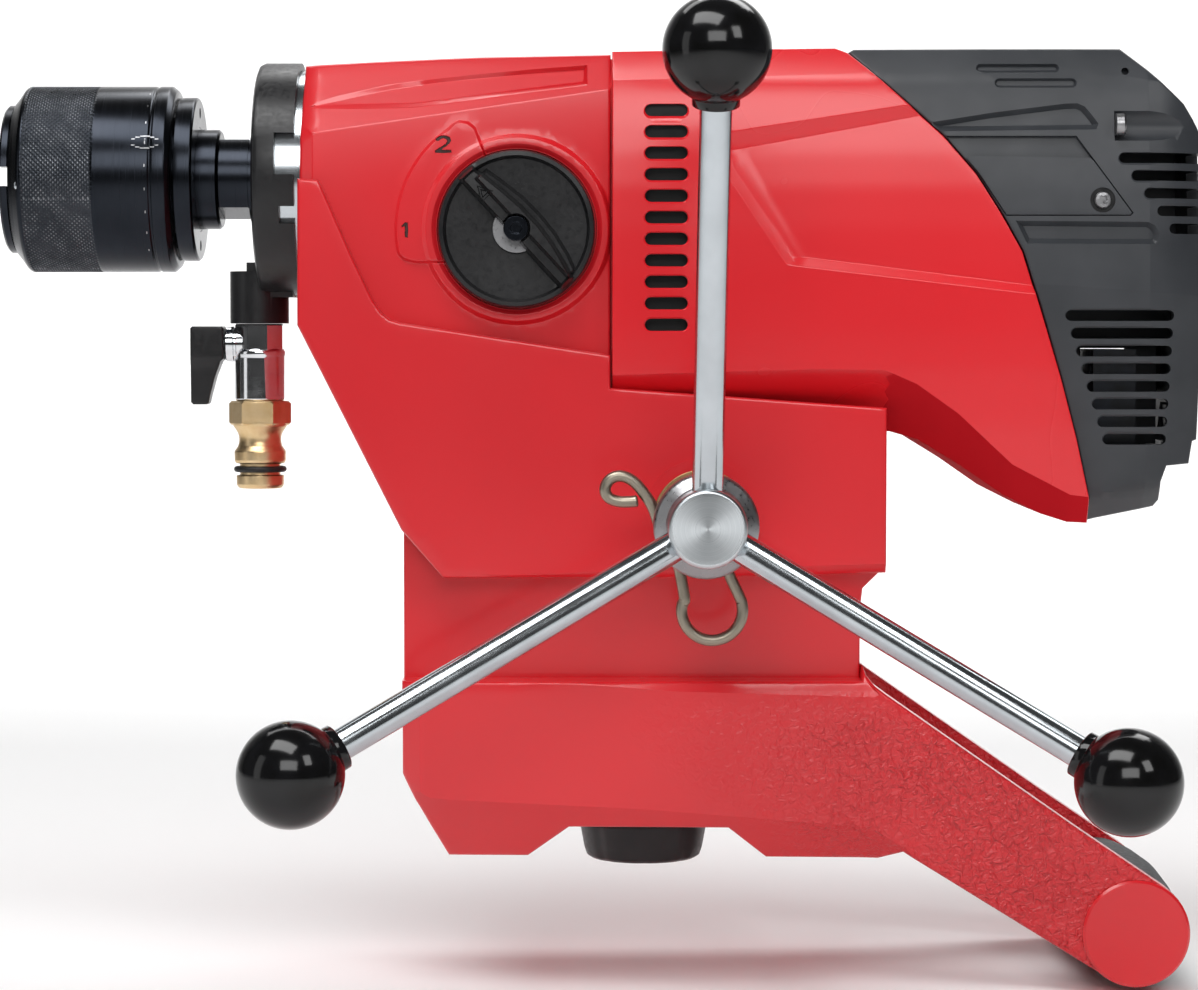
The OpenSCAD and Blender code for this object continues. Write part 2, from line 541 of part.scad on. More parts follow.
module guide_shoes() color("black") for (x=[-77.5,46.5]) both() difference() {
    box(x,x+30,12,cl,-cl,cl);
    box(x-1,x+31,0,cc+column_gap,-cc-column_gap,cc+column_gap);
}
module machine_bolts() color("gray") both() for (x=[-60,-28]) difference() {
    union() { cz(87.9,104,3.95,x,30,32); cz(80,88,6.5,x,30,32); }
    cz(79,84,3.2,x,30,6);
}
module feed_bushes() color("darkgoldenrod") both() difference() {
    union() { cy(-56,-13.5,12.95,wx,wz); cy(-56.6,-54.65,16.5,wx,wz); }
    cy(-60,0,10+run,wx,wz);
}
module handle_tube() color("silver") ringy(-56.8,56.8,12,9.5,gc[0],gc[1]);
module handle_grip() color("dimgray") difference() {
    revy([[-44.7,0],[-44.7,17.2],[-42,18],[-24,19.2],[0,grip_r],[24,19.2],[42,18],[44.7,17.2],[44.7,0]],gc[0],gc[1]);
    cy(-50,50,12.05,gc[0],gc[1]);
}
module grip_caps() color("firebrick") both() union() {
    revy([[57.05,0],[57.05,arm_end_r-0.2],[58,arm_end_r-0.2],[58.8,arm_end_r-1],[58.8,0]],gc[0],gc[1]);
    cy(-57.2,-48,9.4,gc[0],gc[1]);
}
module clamp_screw() color("gray") union() { cz(-66,-36.7,5,3.6,0); }
module brake_shoe() color("sienna") difference() { box(-19.4,26.6,-15.5,15.5,-35.8,-25.7); cz(-37,-35,0.9,3.6,0,24); }
module lock_knob() color("black") difference() {
    translate([3.6,0,0]) rotate_extrude($fn=96) polygon([[0,-72.4],[17,-72],[19.4,-70.6],[20.2,-68],[22.3,-60.2],[22.3,-57],[0,-57]]);
    cz(-66.2,-50,5.1,3.6,0);
    for (a=[0:60:300]) translate([3.6,0,0]) rotate([0,0,a]) cz(-80,-61,3.4,23.6,0,32);
}

// ---- handwheel -------------------------------------------------------
module feed_shaft() color("gray") difference() {
    union() {
        cy(-56.4,56.4,10,wx,wz);
        cy(-112,80,8,wx,wz);
        translate([wx,0,wz]) xz(-9,9) polygon(gearpts(16,2,90,0.12));
    }
    // cross hole for the wire clip
    translate([wx,-88,wz]) rotate([0,-clip_a,0]) translate([-30,0,0]) rotate([0,90,0]) cylinder(h=60,r=2.3,$fn=32);
    cy(-114,-110,2.5,wx,wz,24);
    cy(78,82,2.5,wx,wz,24);
}
clip_a = 115.3;            // direction of the clip's straight leg
module handwheel_hub() color("silver") difference() {
    revy([[57.4,0],[57.4,14],[84,14],[84,12.6],[92.6,12.6],[92.6,16.2],[93.6,17.1],[100.2,17.1],[101.2,16.2],[101.2,12.6],[117,12.6],[118,11.6],[118,0]],wx,wz);
    cy(-112.6,-50,8.1,wx,wz);
    for (a=[89.5,209.5,329.5]) spoke_place(a) cylinder(h=60,r=spoke_r,$fn=48);
    // cross hole for the wire clip
    translate([wx,-88,wz]) rotate([0,-clip_a,0]) translate([-30,0,0]) rotate([0,90,0]) cylinder(h=60,r=2.3,$fn=32);
}
module spoke_place(a) translate([wx,-104,wz]) rotate([0,-a,0]) rotate([0,0,-spoke_lean]) rotate([0,90,0]) translate([0,0,12]) children();
spoke_len = ball_rad/cos(spoke_lean);
module spokes() color("silver") for (a=[89.5,209.5,329.5]) spoke_place(a) cylinder(h=spoke_len-12-6,r=spoke_r,$fn=48);
module ball_knobs() color("black") for (a=[89.5,209.5,329.5]) spoke_place(a) difference() {
    union() { translate([0,0,spoke_len-12]) sphere(r=ball_r,$fn=64); translate([0,0,spoke_len-12-ball_r-0.6]) cylinder(h=4,r=7.4,$fn=48); }
    translate([0,0,spoke_len-12-ball_r-2]) cylinder(h=ball_r-4,r=spoke_r+0.02,$fn=48);
}
wr = 1.9;
loop_c = [25,21.6]; curl_c = [-4.8,61.2];
function onc(c,r,a) = c + r*[cos(a),sin(a)];
function arcp(c,r,a0,a1,n) = [for(i=[0:n]) onc(c,r,a0+(a1-a0)*i/n)];
// centre line of the clip: straight leg through the cross hole, finger loop,
// outer leg round the neck of the hub, curled end
clip_line = concat([[wx,wz]+15.4*[cos(clip_a),sin(clip_a)]],
    arcp(loop_c,9.9,25,-205,22), arcp([wx,wz],14.9,236,184,6), arcp(curl_c,6.1,25.7,298,20));
function tang(p,i) = let(n=len(p)-1, v=p[min(i+1,n)]-p[max(i-1,0)]) v/norm(v);
module tube(p,r,k=12) {
    pts = [for(i=[0:len(p)-1]) let(t=tang(p,i), u=[-t[1],t[0]]) for(j=[0:k-1]) let(a=360*j/k)
        [p[i][0]+r*cos(a)*u[0], r*sin(a), p[i][1]+r*cos(a)*u[1]]];
    m = len(p);
    polyhedron(pts, concat([[for(j=[0:k-1]) j]],
        [for(i=[0:m-2]) for(j=[0:k-1]) [i*k+j, (i+1)*k+j, (i+1)*k+(j+1)%k, i*k+(j+1)%k]],
        [[for(j=[k-1:-1:0]) (m-1)*k+j]]));
}
module wire_clip() color("darkkhaki") translate([0,-88,0]) tube(clip_line, wr);

gear_housing();
gear_plate();
nose_ring();
water_collar();
water_seals();
valve_body();
hose_nipple();
nipple_o_ring();
spindle_bearings();
spindle_seal();
small_bearings();
motor_flange();
field_pack();
end_bridge();
brush_holders();
carbon_brushes();
motor_housing();
rear_cover();
brush_covers();
cover_screws();
housing_screws();
control_module();
cord_gland();
carriage();
guide_shoes();
machine_bolts();
feed_bushes();
handle_tube();
handle_grip();
grip_caps();
spindle();
chuck_body();
chuck_jaws();
chuck_ring();
high_gear();
chuck_sleeve();
shift_collar();
low_gear();
layshaft();
layshaft_gear();
armature_shaft();
rotor_core();
commutator();
fan();
selector_knob();
selector_screw();
selector_shaft();
shift_fork();
valve_lever();
valve_ball();
power_switch();
feed_shaft();
handwheel_hub();
spokes();
ball_knobs();
wire_clip();
lock_knob();
clamp_screw();
brake_shoe();
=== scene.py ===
import bpy, bmesh, math, json
from mathutils import Vector, Matrix, noise


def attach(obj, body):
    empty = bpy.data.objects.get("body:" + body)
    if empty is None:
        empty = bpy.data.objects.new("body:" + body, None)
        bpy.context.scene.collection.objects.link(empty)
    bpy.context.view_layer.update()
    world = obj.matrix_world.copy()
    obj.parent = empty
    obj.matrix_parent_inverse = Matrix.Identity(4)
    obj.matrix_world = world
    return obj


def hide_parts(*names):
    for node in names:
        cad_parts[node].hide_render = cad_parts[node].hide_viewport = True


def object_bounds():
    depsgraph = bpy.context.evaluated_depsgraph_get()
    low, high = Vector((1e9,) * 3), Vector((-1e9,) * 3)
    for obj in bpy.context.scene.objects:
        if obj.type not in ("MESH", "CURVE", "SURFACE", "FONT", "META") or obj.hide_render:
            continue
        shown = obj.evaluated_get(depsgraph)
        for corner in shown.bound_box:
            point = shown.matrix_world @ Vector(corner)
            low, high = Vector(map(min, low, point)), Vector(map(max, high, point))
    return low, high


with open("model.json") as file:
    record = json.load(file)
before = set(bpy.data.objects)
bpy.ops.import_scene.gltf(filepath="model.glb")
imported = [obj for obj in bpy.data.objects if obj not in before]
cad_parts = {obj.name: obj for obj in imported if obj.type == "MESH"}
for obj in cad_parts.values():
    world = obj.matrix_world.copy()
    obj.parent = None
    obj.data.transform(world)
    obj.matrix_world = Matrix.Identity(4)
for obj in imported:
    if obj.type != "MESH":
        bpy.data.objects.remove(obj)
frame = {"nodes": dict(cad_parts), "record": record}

CAD_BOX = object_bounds()
NODES = frame["nodes"]
REC = frame["record"]
BODY = {n: b for b, l in REC["behaviour"]["bodies"].items() for n in l}
SLOT = {s["node"]: s["material_slot"] for s in REC["subparts"]}
MM = 0.001

# ------------------------------------------------------------ camera
scene = bpy.context.scene
cam_d = bpy.data.cameras.new("camera"); cam = bpy.data.objects.new("camera", cam_d)
scene.collection.objects.link(cam); scene.camera = cam
cam_d.sensor_width = 36.0; cam_d.sensor_fit = "HORIZONTAL"; cam_d.lens = 103.784
cam_d.clip_start = 0.05; cam_d.clip_end = 50
cam.location = (-0.0098, -1.2075, 0.11095)
cam.rotation_euler = Vector((-0.0017373, 0.9989249, -0.0463268)).to_track_quat("-Z", "Y").to_euler()

# ------------------------------------------------------------ stage and light
def new_obj(name, verts, faces, smooth=False):
    me = bpy.data.meshes.new(name); me.from_pydata([tuple(v) for v in verts], [], faces); me.update()
    if smooth:
        for p in me.polygons: p.use_smooth = True
    o = bpy.data.objects.new(name, me); scene.collection.objects.link(o)
    return o

def stage():
    z0 = CAD_BOX[0][2] - 0.0005
    prof = [(-3.0, z0)]
    R = 1.2; y0 = 2.2
    prof += [(y0 + R * math.sin(a), z0 + R - R * math.cos(a)) for a in [math.radians(i * 6) for i in range(16)]]
    prof += [(y0 + R, 4.5)]
    v = []; f = []
    for (y, z) in prof: v += [(-6, y, z), (6, y, z)]
    for i in range(len(prof) - 1): f.append((2*i, 2*i+1, 2*i+3, 2*i+2))
    o = new_obj("floor", v, f, True)
    m = bpy.data.materials.new("floor_pale"); m.use_nodes = True
    b = m.node_tree.nodes["Principled BSDF"]
    b.inputs["Base Color"].default_value = (0.93, 0.93, 0.93, 1)
    b.inputs["Roughness"].default_value = 0.9
    b.inputs["Specular IOR Level"].default_value = 0.1
    o.data.materials.append(m)
stage()

def area(name, loc, target, size, power, color=(1, 1, 1), size_y=None):
    d = bpy.data.lights.new(name, "AREA"); d.energy = power; d.color = color
    d.shape = "RECTANGLE"; d.size = size; d.size_y = size_y or size
    o = bpy.data.objects.new(name, d); scene.collection.objects.link(o)
    o.location = loc
    o.rotation_euler = (Vector(target) - Vector(loc)).to_track_quat("-Z", "Y").to_euler()
    return o
T = (0, 0, 0.06)
area("key_top", (-0.35, -0.62, 1.35), T, 1.2, 14.0, size_y=0.6)
area("window_right", (0.95, -1.10, 0.95), (0.05, 0, 0.05), 0.45, 4.0, size_y=0.6)
area("fill_left", (-1.6, -0.7, 0.45), T, 0.5, 1.6, size_y=1.2)
area("front_soft", (-0.05, -2.3, 1.10), T, 1.5, 17.0, size_y=0.85)
area("back_wall", (0.0, 1.5, 1.3), (0, 2.8, 0.5), 2.6, 42, size_y=1.2)
area("floor_back", (0.0, 1.2, 1.8), (0, 1.4, -0.1), 2.6, 16, size_y=0.8)
area("rim_top", (0.25, 0.75, 1.15), T, 1.1, 5, size_y=0.5)
w = bpy.data.worlds.new("world"); scene.world = w; w.use_nodes = True
w.node_tree.nodes["Background"].inputs[0].default_value = (1, 1, 1, 1)
w.node_tree.nodes["Background"].inputs[1].default_value = 0.05
try:
    scene.view_settings.view_transform = "Standard"
except Exception:
    pass

# ------------------------------------------------------------ materials
class M:
    """Small builder for procedural materials in object space (metres)."""
    def __init__(self, name, base, rough, metal=0.0, spec=None, coat=0.0, coat_rough=0.05, aniso=0.0):
        self.m = bpy.data.materials.new(name); self.m.use_nodes = True
        self.t = self.m.node_tree; self.n = self.t.nodes; self.l = self.t.links
        self.b = self.n["Principled BSDF"]; i = self.b.inputs
        i["Base Color"].default_value = (*base, 1); i["Roughness"].default_value = rough
        i["Metallic"].default_value = metal
        if spec is not None: i["Specular IOR Level"].default_value = spec
        i["Coat Weight"].default_value = coat; i["Coat Roughness"].default_value = coat_rough
        if aniso: i["Anisotropic"].default_value = aniso
        self.base = base; self.rough = rough
        self.co = self.n.new("ShaderNodeTexCoord").outputs["Object"]
        self.h = None
    def mapping(self, scale=(1, 1, 1), loc=(0, 0, 0), rot=(0, 0, 0)):
        m = self.n.new("ShaderNodeMapping"); self.l.new(self.co, m.inputs["Vector"])
        m.inputs["Scale"].default_value = scale; m.inputs["Location"].default_value = loc
        m.inputs["Rotation"].default_value = rot
        return m.outputs["Vector"]
    def noise(self, scale, detail=3, rough=0.55, vec=None, dist=0.0):
        n = self.n.new("ShaderNodeTexNoise"); self.l.new(vec or self.co, n.inputs["Vector"])
        n.inputs["Scale"].default_value = scale; n.inputs["Detail"].default_value = detail
        n.inputs["Roughness"].default_value = rough; n.inputs["Distortion"].default_value = dist
        return n.outputs["Fac"]
    def voronoi(self, scale, vec=None, feature="F1"):
        n = self.n.new("ShaderNodeTexVoronoi"); n.feature = feature; self.l.new(vec or self.co, n.inputs["Vector"])
        n.inputs["Scale"].default_value = scale
        return n.outputs["Distance"]
    def rng(self, v, a, b, c, d):
        n = self.n.new("ShaderNodeMapRange"); self.l.new(v, n.inputs["Value"])
        for k, x in zip(("From Min", "From Max", "To Min", "To Max"), (a, b, c, d)): n.inputs[k].default_value = x
        return n.outputs["Result"]
    def math(self, op, a, b):
        n = self.n.new("ShaderNodeMath"); n.operation = op
        for k, x in ((0, a), (1, b)):
            if isinstance(x, (int, float)): n.inputs[k].default_value = x
            else: self.l.new(x, n.inputs[k])
        return n.outputs[0]
    def roughness(self, v, lo, hi, a=0.3, b=0.7):
        self.l.new(self.rng(v, a, b, lo, hi), self.b.inputs["Roughness"]); return self
    def tint(self, v, c0, c1, a=0.3, b=0.7):
        n = self.n.new("ShaderNodeMix"); n.data_type = "RGBA"
        self.l.new(self.rng(v, a, b, 0, 1), n.inputs["Factor"])
        src = self.b.inputs["Base Color"]
        n.inputs["A"].default_value = (*c0, 1); n.inputs["B"].default_value = (*c1, 1)
        self.l.new(n.outputs["Result"], src); self.last = n
        return self
    def over(self, v, col, a=0.3, b=0.7):
        """Lays col over the present colour where v is high."""
        n = self.n.new("ShaderNodeMix"); n.data_type = "RGBA"
        self.l.new(self.rng(v, a, b, 0, 1), n.inputs["Factor"])
        s = self.b.inputs["Base Color"]
        if s.is_linked: self.l.new(s.links[0].from_socket, n.inputs["A"])
        else: n.inputs["A"].default_value = (*self.base, 1)
        n.inputs["B"].default_value = (*col, 1); self.l.new(n.outputs["Result"], s)
        return self
    def bump(self, v, dist, strength=1.0):
        n = self.n.new("ShaderNodeBump"); n.inputs["Strength"].default_value = strength
        n.inputs["Distance"].default_value = dist; self.l.new(v, n.inputs["Height"])
        if self.h is not None: self.l.new(self.h, n.inputs["Normal"])
        self.h = n.outputs["Normal"]; self.l.new(self.h, self.b.inputs["Normal"])
        return self
    # Lays col over convex edges (pointiness) in noisy patches: a painted highlight on ridges
    def edges(self, col, amount=0.5, a=0.53, b=0.60):
        g = self.n.new("ShaderNodeNewGeometry")
        v = self.math("MULTIPLY", self.rng(g.outputs["Pointiness"], a, b, 0, 1), self.rng(self.noise(220, 4), 0.4, 0.62, 0, amount))
        return self.over(v, col, 0, 1)

MATS = {}
def reg(slot, m): MATS[slot] = m.m; return m

def red_casting(name, lump=1.0):
    m = M(name, (0.68, 0.012, 0.020), 0.30, spec=0.5, coat=0.40, coat_rough=0.10)
    m.tint(m.noise(6, 2), (0.62, 0.010, 0.017), (0.74, 0.016, 0.024), 0.35, 0.65)
    m.roughness(m.noise(14, 2), 0.28, 0.34)
    # orange peel: only low on the band, stronger towards the arm
    sep = m.n.new("ShaderNodeSeparateXYZ"); m.l.new(m.co, sep.inputs["Vector"])
    low = m.rng(sep.outputs["Z"], -0.008, -0.022, 0.0, 1.0); right = m.rng(sep.outputs["X"], -0.012, 0.05, 0.0, 1.0)
    diag = m.rng(m.math("ADD", m.math("MULTIPLY", sep.outputs["X"], 0.72), sep.outputs["Z"]), -0.032, 0.004, 0.0, 1.0)
    mask = m.math("MULTIPLY", m.math("MULTIPLY", low, right), m.math("MULTIPLY", diag, m.rng(m.noise(22, 2), 0.30, 0.55, 0.35, 1.0)))
    peel = m.math("MULTIPLY", m.noise(430, 2, 0.45, None, 0.9), mask)
    m.bump(peel, 0.0026, 1.0)
    return m
reg("red_casting", red_casting("red_cast_paint"))
m = reg("red_plastic", M("red_moulded_plastic", (0.72, 0.012, 0.019), 0.27, spec=0.5, coat=0.40, coat_rough=0.16))
m.tint(m.noise(7, 2), (0.69, 0.010, 0.017), (0.75, 0.014, 0.022), 0.35, 0.65)
m.roughness(m.noise(11, 2), 0.25, 0.29)
# darker, rougher copy of the red plastic: the darker colour is painted shade for downward faces, the higher roughness a
# matte finish
m = reg("red_matte", M("red_moulded_painted_underside_shade", (0.55, 0.010, 0.017), 0.85, spec=0.06))
m.tint(m.noise(7, 2), (0.53, 0.009, 0.015), (0.57, 0.011, 0.019), 0.35, 0.65)
m.roughness(m.noise(60, 2), 0.80, 0.90)
m = reg("charcoal_plastic", M("charcoal_plastic", (0.036, 0.039, 0.044), 0.42, spec=0.45))
m.tint(m.noise(40, 3), (0.031, 0.034, 0.039), (0.042, 0.045, 0.051), 0.35, 0.65)
m.roughness(m.noise(70, 3), 0.34, 0.44)
m = reg("black_plastic", M("black_satin_plastic", (0.008, 0.008, 0.009), 0.30, spec=0.42))
m.roughness(m.noise(600, 3), 0.28, 0.44)
m.tint(m.noise(60, 3), (0.006, 0.006, 0.007), (0.012, 0.012, 0.013), 0.35, 0.65)
m.bump(m.noise(2400, 2), 0.00002, 0.5)
m = reg("ball_plastic", M("black_phenolic", (0.004, 0.004, 0.005), 0.10, spec=0.42, coat=0.0))
m.roughness(m.noise(120, 3), 0.09, 0.15)
m.tint(m.noise(90, 2), (0.003, 0.003, 0.003), (0.007, 0.007, 0.008), 0.35, 0.65)
m = reg("black_steel", M("blued_steel", (0.022, 0.025, 0.031), 0.24, metal=1.0))
m.tint(m.noise(50, 4), (0.020, 0.023, 0.029), (0.025, 0.028, 0.035), 0.35, 0.68)
v = m.mapping((1, 1, 1)); n = m.noise(1, 3, 0.6, m.mapping((4200, 20, 20)))
m.roughness(n, 0.20, 0.28)
def steel(name, col, r0, r1, scale=(20, 20, 2500), aniso=0.0, metal=1.0):
    m = M(name, col, (r0 + r1) / 2, metal=metal)
    n = m.noise(1, 3, 0.6, m.mapping(scale))
    m.tint(m.noise(70, 3), tuple(c * 0.93 for c in col), tuple(min(1, c * 1.05) for c in col), 0.35, 0.65)
    m.roughness(n, r0, r1); m.bump(n, 0.000012, 0.4)
    return m
reg("bright_steel", steel("zinc_bright_steel", (0.56, 0.60, 0.63), 0.12, 0.20, (60, 60, 60)))
reg("gear_steel", steel("machined_steel", (0.36, 0.36, 0.37), 0.25, 0.42, (900, 900, 900)))
m = reg("chrome", M("chrome_plate", (0.78, 0.79, 0.81), 0.07, metal=1.0))
m.roughness(m.noise(150, 3), 0.05, 0.13); m.bump(m.noise(260, 2), 0.00003, 0.35)
m.tint(m.noise(80, 2), (0.72, 0.73, 0.75), (0.82, 0.83, 0.85))
m = reg("brass", M("turned_brass", (0.78, 0.58, 0.32), 0.30, metal=1.0))
m.tint(m.noise(140, 4), (0.72, 0.50, 0.25), (0.84, 0.64, 0.38), 0.32, 0.68)
n = m.noise(1, 3, 0.6, m.mapping((30, 30, 3800))); m.roughness(n, 0.28, 0.42); m.bump(n, 0.000008, 0.4)
m = reg("bronze", M("sintered_bronze", (0.42, 0.27, 0.13), 0.42, metal=1.0))
m.roughness(m.noise(900, 3), 0.34, 0.55); m.tint(m.noise(300, 4), (0.34, 0.21, 0.10), (0.50, 0.33, 0.17)); m.bump(m.noise(2500, 2), 0.00002, 0.5)
m = reg("rubber", M("nitrile_rubber", (0.012, 0.012, 0.012), 0.5, spec=0.4))
m.roughness(m.noise(500, 3), 0.42, 0.6); m.tint(m.noise(200, 3), (0.010, 0.010, 0.010), (0.020, 0.020, 0.020))
m = reg("grip_rubber", M("grip_rubber", (0.045, 0.047, 0.050), 0.62, spec=0.35))
m.roughness(m.noise(500, 3), 0.55, 0.72); m.tint(m.noise(60, 3), (0.038, 0.040, 0.043), (0.054, 0.056, 0.060)); m.bump(m.noise(1500, 3), 0.00006, 0.6)
reg("wire", steel("spring_wire", (0.34, 0.30, 0.24), 0.28, 0.45, (300, 300, 300)))
reg("alloy", steel("machined_alloy", (0.66, 0.67, 0.68), 0.28, 0.42, (700, 700, 700)))
reg("laminations", steel("laminated_iron", (0.16, 0.16, 0.17), 0.38, 0.55, (1600, 8, 8)))
reg("copper", steel("copper", (0.72, 0.36, 0.20), 0.2, 0.35, (1200, 30, 30)))
m = reg("carbon", M("pressed_carbon", (0.03, 0.03, 0.032), 0.5)); m.roughness(m.noise(800), 0.4, 0.6); m.tint(m.noise(300), (0.025, 0.025, 0.027), (0.04, 0.04, 0.042))
# near-black board: painted shade for the board inside the housing, with bluish patches as painted glints
m = reg("board", M("board", (0.012, 0.014, 0.018), 0.4)); m.roughness(m.noise(300), 0.3, 0.5); m.tint(m.noise(120), (0.008, 0.010, 0.014), (0.020, 0.026, 0.045))
m = reg("brake_lining", M("brake_lining", (0.12, 0.07, 0.04), 0.7)); m.roughness(m.noise(900), 0.6, 0.8); m.tint(m.voronoi(900), (0.08, 0.05, 0.03), (0.17, 0.10, 0.06), 0.0, 0.6); m.bump(m.noise(1500), 0.0001, 0.6)

def give(o, mat):
    o.data.materials.clear(); o.data.materials.append(mat)

# ------------------------------------------------------------ carried CAD nodes
def finish_node(name, bevel=0.0004, seg=3, angle=32):
    o = NODES[name]
    give(o, MATS[SLOT[name]])
    for p in o.data.polygons: p.use_smooth = True; p.material_index = 0
    w = o.modifiers.new("weld", "WELD"); w.merge_threshold = 1e-6
    d = o.modifiers.new("planar", "DECIMATE"); d.decimate_type = "DISSOLVE"; d.angle_limit = math.radians(0.6)
    if bevel:
        b = o.modifiers.new("bevel", "BEVEL"); b.width = bevel; b.segments = seg; b.limit_method = "ANGLE"
        b.angle_limit = math.radians(angle); b.harden_normals = False; b.use_clamp_overlap = True
        b.miter_outer = "MITER_ARC"
    e = o.modifiers.new("split", "EDGE_SPLIT"); e.split_angle = math.radians(33); e.use_edge_sharp = False
    n = o.modifiers.new("weighted", "WEIGHTED_NORMAL"); n.weight = 70
    return o

BEVEL = {"gear_housing": 0.0012, "carriage": 0.0014, "motor_housing": 0.0010, "rear_cover": 0.0009, "handwheel_hub": 0.0004,
         "brush_covers": 0.0005, "selector_knob": 0.0005, "grip_caps": 0.0, "spokes": 0.0, "ball_knobs": 0.0, "wire_clip": 0.0, "nipple_o_ring": 0.0}
for n in NODES:
    finish_node(n, BEVEL.get(n, 0.0003))

# ------------------------------------------------------------ skin toolkit (millimetres, X-Z plane)
import numpy as np
from mathutils.geometry import delaunay_2d_cdt
from mathutils import kdtree

def vecs(p): return [Vector((float(a), float(b))) for a, b in p]
def area2(p): return sum(p[i-1].x * p[i].y - p[i].x * p[i-1].y for i in range(len(p)))
def ccw(p):
    p = vecs(p)
    return p if area2(p) > 0 else p[::-1]
def subdiv(pts, step, closed):
    out = []; n = len(pts)
    for i in range(n if closed else n - 1):
        a = pts[i]; b = pts[(i + 1) % n]; k = max(1, int(math.ceil((b - a).length / step - 1e-6)))
        out += [a.lerp(b, j / k) for j in range(k)]
    if not closed: out.append(pts[-1])
    return out
def inset(pts, d):
    n = len(pts); out = []
    for i in range(n):
        e0 = (pts[i] - pts[i-1]).normalized(); e1 = (pts[(i+1) % n] - pts[i]).normalized()
        n0 = Vector((-e0.y, e0.x)); m = n0 + Vector((-e1.y, e1.x))
        m = m.normalized() if m.length > 1e-6 else n0
        out.append(pts[i] + m * (d / max(0.4, m.dot(n0))))
    return out
def shift_line(pts, d):
    n = len(pts); out = []
    for i in range(n):
        e0 = (pts[i] - pts[i-1]).normalized() if i else (pts[1] - pts[0]).normalized()
        e1 = (pts[i+1] - pts[i]).normalized() if i < n - 1 else e0
        n0 = Vector((-e0.y, e0.x)); m = (n0 + Vector((-e1.y, e1.x))).normalized()
        out.append(pts[i] + m * (d / max(0.4, m.dot(n0))))
    return out
def circle(x, z, r, n=72, a0=0.0): return [(x + r * math.cos(a0 + 2 * math.pi * i / n), z + r * math.sin(a0 + 2 * math.pi * i / n)) for i in range(n)]
def pol(p): return np.array([(v[0], v[1]) for v in p], float)
def seg_dist(X, Z, p, closed=True):
    p = pol(p); d = np.full(X.shape, 1e9)
    for i in range(len(p) if closed else len(p) - 1):
        a = p[i]; b = p[(i + 1) % len(p)]; ab = b - a; L = max(1e-12, float(ab @ ab))
        t = np.clip(((X - a[0]) * ab[0] + (Z - a[1]) * ab[1]) / L, 0, 1)
        d = np.minimum(d, np.hypot(X - a[0] - t * ab[0], Z - a[1] - t * ab[1]))
    return d
def is_in(X, Z, p):
    p = pol(p); r = np.zeros(X.shape, bool)
    for i in range(len(p)):
        x0, z0 = p[i-1]; x1, z1 = p[i]
        if z0 == z1: continue
        c = (z0 > Z) != (z1 > Z)
        r ^= c & (X < (x1 - x0) * (Z - z0) / (z1 - z0) + x0)
    return r
def sdist(X, Z, p):
    """Distance to the edge of p, positive inside."""
    d = seg_dist(X, Z, p); return np.where(is_in(X, Z, p), d, -d)
def step_in(X, Z, p, w, soft=True):
    """0 outside p, 1 further inside than w."""
    t = np.clip(sdist(X, Z, p) / w, 0, 1)
    return t
class Step:
    """A raised (or sunk) field bounded by poly, with a sloping wall of width w."""
    def __init__(self, poly, w, depth, fillet=0.0, mat=None):
        self.p = ccw(poly); self.w = w; self.depth = depth; self.fillet = fillet; self.mat = mat
    def add(self, X, Z):
        d = self.depth(X, Z) if callable(self.depth) else self.depth
        t = np.clip(sdist(X, Z, self.p) / self.w, 0, 1)
        if self.fillet: t = t * t * (3 - 2 * t)
        return d * t
    def lines(self):
        ds = [0, self.w] + ([self.w * 0.2, self.w * 0.5, self.w * 0.8] if self.fillet else [])
        e = min(0.35, self.w * 0.4)
        if not self.fillet: ds += [-e, self.w + e]
        return [(inset(self.p, d), True) for d in ds]

